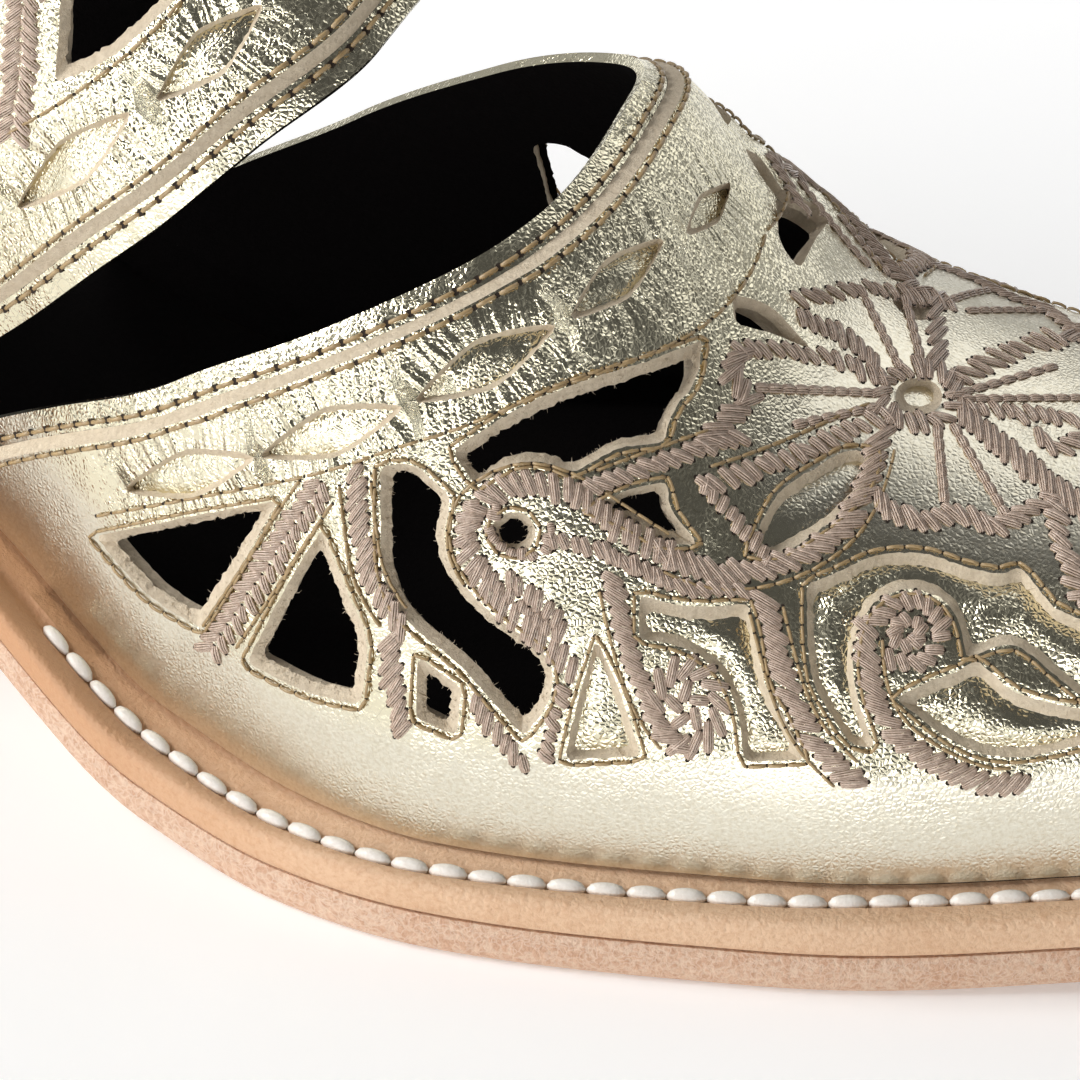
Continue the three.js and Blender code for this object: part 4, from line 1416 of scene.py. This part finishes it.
def fibre_piece(name, cuts):
    """Short hairs of raw leather along the lower edge of open cuts, pointing into them."""
    paths, ups = [], []
    for face, below in cuts:
        low, high = on_skin(below, -LEATHER), on_skin(face)
        ahead = np.roll(low, -1, 0)
        into = unit(low - high)
        count = int(np.linalg.norm(ahead - low, axis=1).sum() * FIBRE_PER_MM)
        k, t = random.integers(0, len(low), count), random.random((count, 1))
        root = low[k] * (1 - t) + ahead[k] * t
        root += (high[k] - low[k]) * random.random((count, 1)) * FIBRE_CLIMB
        way = unit(into[k] + random.normal(0, FIBRE_STRAY, (count, 3)))
        bend = random.normal(0, FIBRE_BEND, (count, 3))
        size = FIBRE_LENGTH * random.uniform(*FIBRE_LENGTHS, (count, 1))
        middle = root + (way + bend) * size / 2
        paths.append(np.stack([root - way * FIBRE_ROOT, middle, root + way * size], 1))
        ups.append(np.cross(way, unit(bend)))
    widths = FIBRE_TAPER * FIBRE_WIDTH
    verts, quads = tubes(np.concatenate(paths), np.concatenate(ups), widths, FIBRE_SIDES)
    add_mesh(name, to_frame(verts), quads, [RAW])


fibre_piece("raw_fibres", near_open[:len(open_corners)])


# Sole
SOLE_SHARP = math.radians(50)


def outline(out, side, low, count=220):
    """Plan outline moved outwards, from the back to the toe on one side."""
    place = np.linspace(low, 1, count)
    x, y = x_of(place), side * (outer(place) if side < 0 else inner(place))
    normal = quarter_turn(tangents(np.stack([x, y], -1))) * side
    for end in (0, -1):
        if abs(place[end]) == 1:
            normal[end] = (place[end], 0)
    return np.stack([x, y], -1) + normal * out(place)[:, None]


def sole_ring(out, rise, low=-1.0):
    """Outline at a height over the floor's profile: outer side to the toe, then the inner side back."""
    near, far_side = outline(out, -1, low), outline(out, 1, low)
    plan = np.concatenate([near, far_side[-2::-1] if low > -1 else far_side[-2:0:-1]])
    return np.concatenate([plan, (floor_under(plan[:, 0]) + rise)[:, None]], 1)


def swept(name, section, mat, low=-1.0, closed=False):
    """Skin over the rings of a section, whose first and last ring are filled where it is closed."""
    rails = np.stack([sole_ring(out, rise, low) for out, rise in section], 1)
    n, k, _ = rails.shape
    i = np.arange(n if closed else n - 1)[:, None]
    j = np.arange(k - 1 if closed else k)
    here, ahead = i * k, (i + 1) % n * k
    quads = [np.stack([here + j, ahead + j, ahead + (j + 1) % k, here + (j + 1) % k], -1).reshape(-1, 4)]
    if closed:
        m = np.arange(n // 2)
        for rail, order in ((0, 1), (k - 1, -1)):
            cap = np.stack([m, m + 1, n - 1 - m, (n - m) % n], -1)[:, ::order] * k + rail
            quads.append(cap)
    quads = np.concatenate(quads)
    triangles = np.concatenate([quads[:, [0, 1, 2]], quads[:, [0, 2, 3]]])
    real = (triangles != np.roll(triangles, 1, 1)).all(1)
    piece = add_mesh(name, to_frame(rails.reshape(-1, 3)), triangles[real], [mat])
    piece.data.set_sharp_from_angle(angle=SOLE_SHARP)
    return piece


GROOVE_WIDTH, GROOVE_DEPTH = 2.0, 0.8
GROOVE_X = (-80, -24, -8, 8, 25, 47, 58, 80, 130)
GROOVE_OUT = (3.0, 3.1, 3.7, 3.1, 2.5, 1.9, 1.4, 1.6, 2.4)
groove_out = curve(GROOVE_X, GROOVE_OUT)


def reach_less(depth):
    return lambda place: reach(place) - depth


def inside(depth):
    return lambda place: np.full(len(place), -depth)


def groove(share):
    return lambda place: groove_out(x_of(place)) + share * GROOVE_WIDTH / 2


WELT_CLEAR = 0.1
welt_low = float(place_of(WELT_END))
welt_base = OUTSOLE + WELT_CLEAR
# Sections: how far out a corner lies, and how high
WELT_SECTION = [
    (inside(WELT_UNDER), welt_base),
    (reach_less(0.6), welt_base),
    (reach_less(0.1), welt_base + 0.35),
    (reach_less(0.0), welt_base + 1.0),
    (reach_less(0.0), WELT_TOP - 1.2),
    (reach_less(0.15), WELT_TOP - 0.5),
    (reach_less(0.55), WELT_TOP - 0.1),
    (reach_less(1.0), WELT_TOP),
    (groove(1.0), WELT_TOP - 0.05),
    (groove(0.55), WELT_TOP - GROOVE_DEPTH * 0.7),
    (groove(0.0), WELT_TOP - GROOVE_DEPTH),
    (groove(-0.55), WELT_TOP - GROOVE_DEPTH * 0.7),
    (groove(-1.0), WELT_TOP - 0.05),
    (inside(WELT_UNDER), WELT_TOP),
]
welt = swept("welt_strip", WELT_SECTION, WELT_SKIN, welt_low)
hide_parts("welt")

SOLE_SECTION = [
    (reach_less(6.0), 0.0),
    (reach_less(1.4), 0.0),
    (reach_less(0.6), 0.3),
    (reach_less(0.15), 0.9),
    (reach_less(0.0), 1.8),
    (reach_less(0.0), 3.8),
    (reach_less(0.25), OUTSOLE),
    (reach_less(6.0), OUTSOLE),
]
outsole = swept("outsole_leather", SOLE_SECTION, SOLE_SKIN, closed=True)
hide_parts("outsole")

SOCK, SOCK_INSET, SOCK_SINK = 0.8, 0.9, 0.05
sock_base = WELT_TOP - SOCK_SINK
SOCK_SECTION = [(inside(SOCK_INSET), sock_base), (inside(SOCK_INSET), sock_base + SOCK)]
sock = swept("sock_lining", SOCK_SECTION, SUEDE, closed=True)

WELT_STITCH_PITCH, WELT_STITCH_LENGTH, WELT_STITCH_WIDTH = 3.75, 3.55, 0.78
WELT_STITCH_END = -26.0
WELT_STITCH_POINTS, WELT_STITCH_SIDES = 9, 10
WELT_STITCH_LIFT, WELT_STITCH_ARCH = 0.25, 0.3
WELT_STITCH_TIP, WELT_STITCH_ROUND, WELT_STITCH_UNEVEN = 0.03, 0.36, 0.05


def welt_stitches():
    """Plump lock stitches in the groove, from waist to waist round the toe."""
    low = float(place_of(WELT_STITCH_END))
    line = sole_ring(groove(0.0), WELT_TOP - GROOVE_DEPTH + WELT_STITCH_LIFT, low)
    line = resample(line, WELT_STITCH_PITCH)
    t = np.linspace(-1, 1, WELT_STITCH_POINTS)
    swell = np.clip(1 - t ** 2, WELT_STITCH_TIP, 1) ** WELT_STITCH_ROUND
    paths = line[:, None] + tangents(line)[:, None] * (t * WELT_STITCH_LENGTH / 2)[:, None]
    paths[:, :, 2] += swell * WELT_STITCH_ARCH
    up = np.tile([0.0, 0.0, 1.0], (len(line), 1))
    width = WELT_STITCH_WIDTH * swell * random.normal(1, WELT_STITCH_UNEVEN, (len(line), 1))
    verts, quads = tubes(paths, up, width, WELT_STITCH_SIDES)
    piece = add_mesh("welt_stitches", to_frame(verts), quads, [WHITE_THREAD])


welt_stitches()

NODE_LOOKS = {"insole": SUEDE, "heel_wedge": HEEL_SKIN, "heel_top_piece": RUBBER}
NODE_LOOKS |= {f"heel_lift_{number}": HEEL_SKIN for number in range(1, 5)}
for node, mat in NODE_LOOKS.items():
    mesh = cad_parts[node].data
    mesh.materials.clear()
    mesh.materials.append(mat)


# Studio, in metres and watts
LIGHT_COLUMNS = ("name", "position", "aim", "size", "watts")
LIGHTS = [
    ("key", (-0.95, -0.4, 0.8), (0.0, 0.0, 0.03), (0.7, 0.7), 13.0),
    ("front_low", (-0.15, -1.0, 0.2), (0.0, 0.0, 0.06), (1.7, 0.4), 5.6),
    ("back", (0.45, 0.95, 1.0), (0.03, 0.0, 0.04), (1.2, 1.0), 3.6),
]


def area_light(name, position, aim, size, watts):
    light = bpy.data.lights.new(name, "AREA")
    light.shape = "RECTANGLE"
    light.size, light.size_y = size
    light.energy = watts
    lamp = bpy.data.objects.new(name, light)
    lamp.location = position
    lamp.rotation_euler = (Vector(aim) - Vector(position)).to_track_quat("-Z", "Y").to_euler()
    bpy.context.scene.collection.objects.link(lamp)


DARK_SIDE = (0.45, -0.31, 0.84)
DARK_FROM, DARK_TO = 0.32, 0.9  # cosines of the angle to the dark side
ROOM_LEVEL, DARK_LEVEL = 0.36, 0.08


def surround():
    """Even grey room, dark behind the instep so that the gold has something to mirror."""
    room = Nodes(bpy.data.worlds.new("studio"), "Background", "Generated")
    toward = room.add("ShaderNodeVectorMath", {0: room.coords, 1: DARK_SIDE}, operation="DOT_PRODUCT")
    level = room.ramp(toward.outputs["Value"], DARK_FROM, DARK_TO, ROOM_LEVEL, DARK_LEVEL)
    room.set(Color=(1, 1, 1, 1), Strength=level)
    bpy.context.scene.world = room.owner


FLOOR_HALF, FLOOR_TONE = 6.0, (0.9, 0.9, 0.9, 1.0)
FLOOR_NEAR, FLOOR_FAR = -0.1, 0.35  # between them the floor's own glow grows, so that it stays white
GLOW_NEAR, GLOW_FAR = 0.18, 0.52


def pale_floor():
    corners = [(x * FLOOR_HALF, y * FLOOR_HALF, 0) for x, y in ((-1, -1), (1, -1), (1, 1), (-1, 1))]
    mesh = bpy.data.meshes.new("floor")
    mesh.from_pydata(corners, [], [(0, 1, 2, 3)])
    floor = bpy.data.objects.new("floor", mesh)
    bpy.context.scene.collection.objects.link(floor)
    pale = material("pale_floor")
    pale.set(Base_Color=FLOOR_TONE, Roughness=0.9, Emission_Color=(1, 1, 1, 1))
    back = pale.add("ShaderNodeSeparateXYZ", {0: pale.coords}).outputs["Y"]
    pale.set(Emission_Strength=pale.ramp(back, FLOOR_NEAR, FLOOR_FAR, GLOW_NEAR, GLOW_FAR))
    mesh.materials.append(pale.owner)


def studio():
    pale_floor()
    surround()
    for row in named(LIGHT_COLUMNS, LIGHTS):
        area_light(**row)
    bpy.context.scene.view_settings.view_transform = "Standard"


SENSOR, CLIP_NEAR, CLIP_FAR = 36.0, 0.02, 20  # sensor in millimetres


def camera():
    data = bpy.data.cameras.new("camera")
    data.sensor_width = SENSOR
    data.lens = SENSOR * FOCAL / PHOTO
    data.clip_start, data.clip_end = CLIP_NEAR, CLIP_FAR
    cam = bpy.data.objects.new("camera", data)
    turn = Matrix((RIGHT, UP, BACK)).transposed().to_4x4()
    cam.matrix_world = Matrix.Translation(to_frame(EYE)) @ turn
    bpy.context.scene.collection.objects.link(cam)
    bpy.context.scene.camera = cam


studio()
camera()
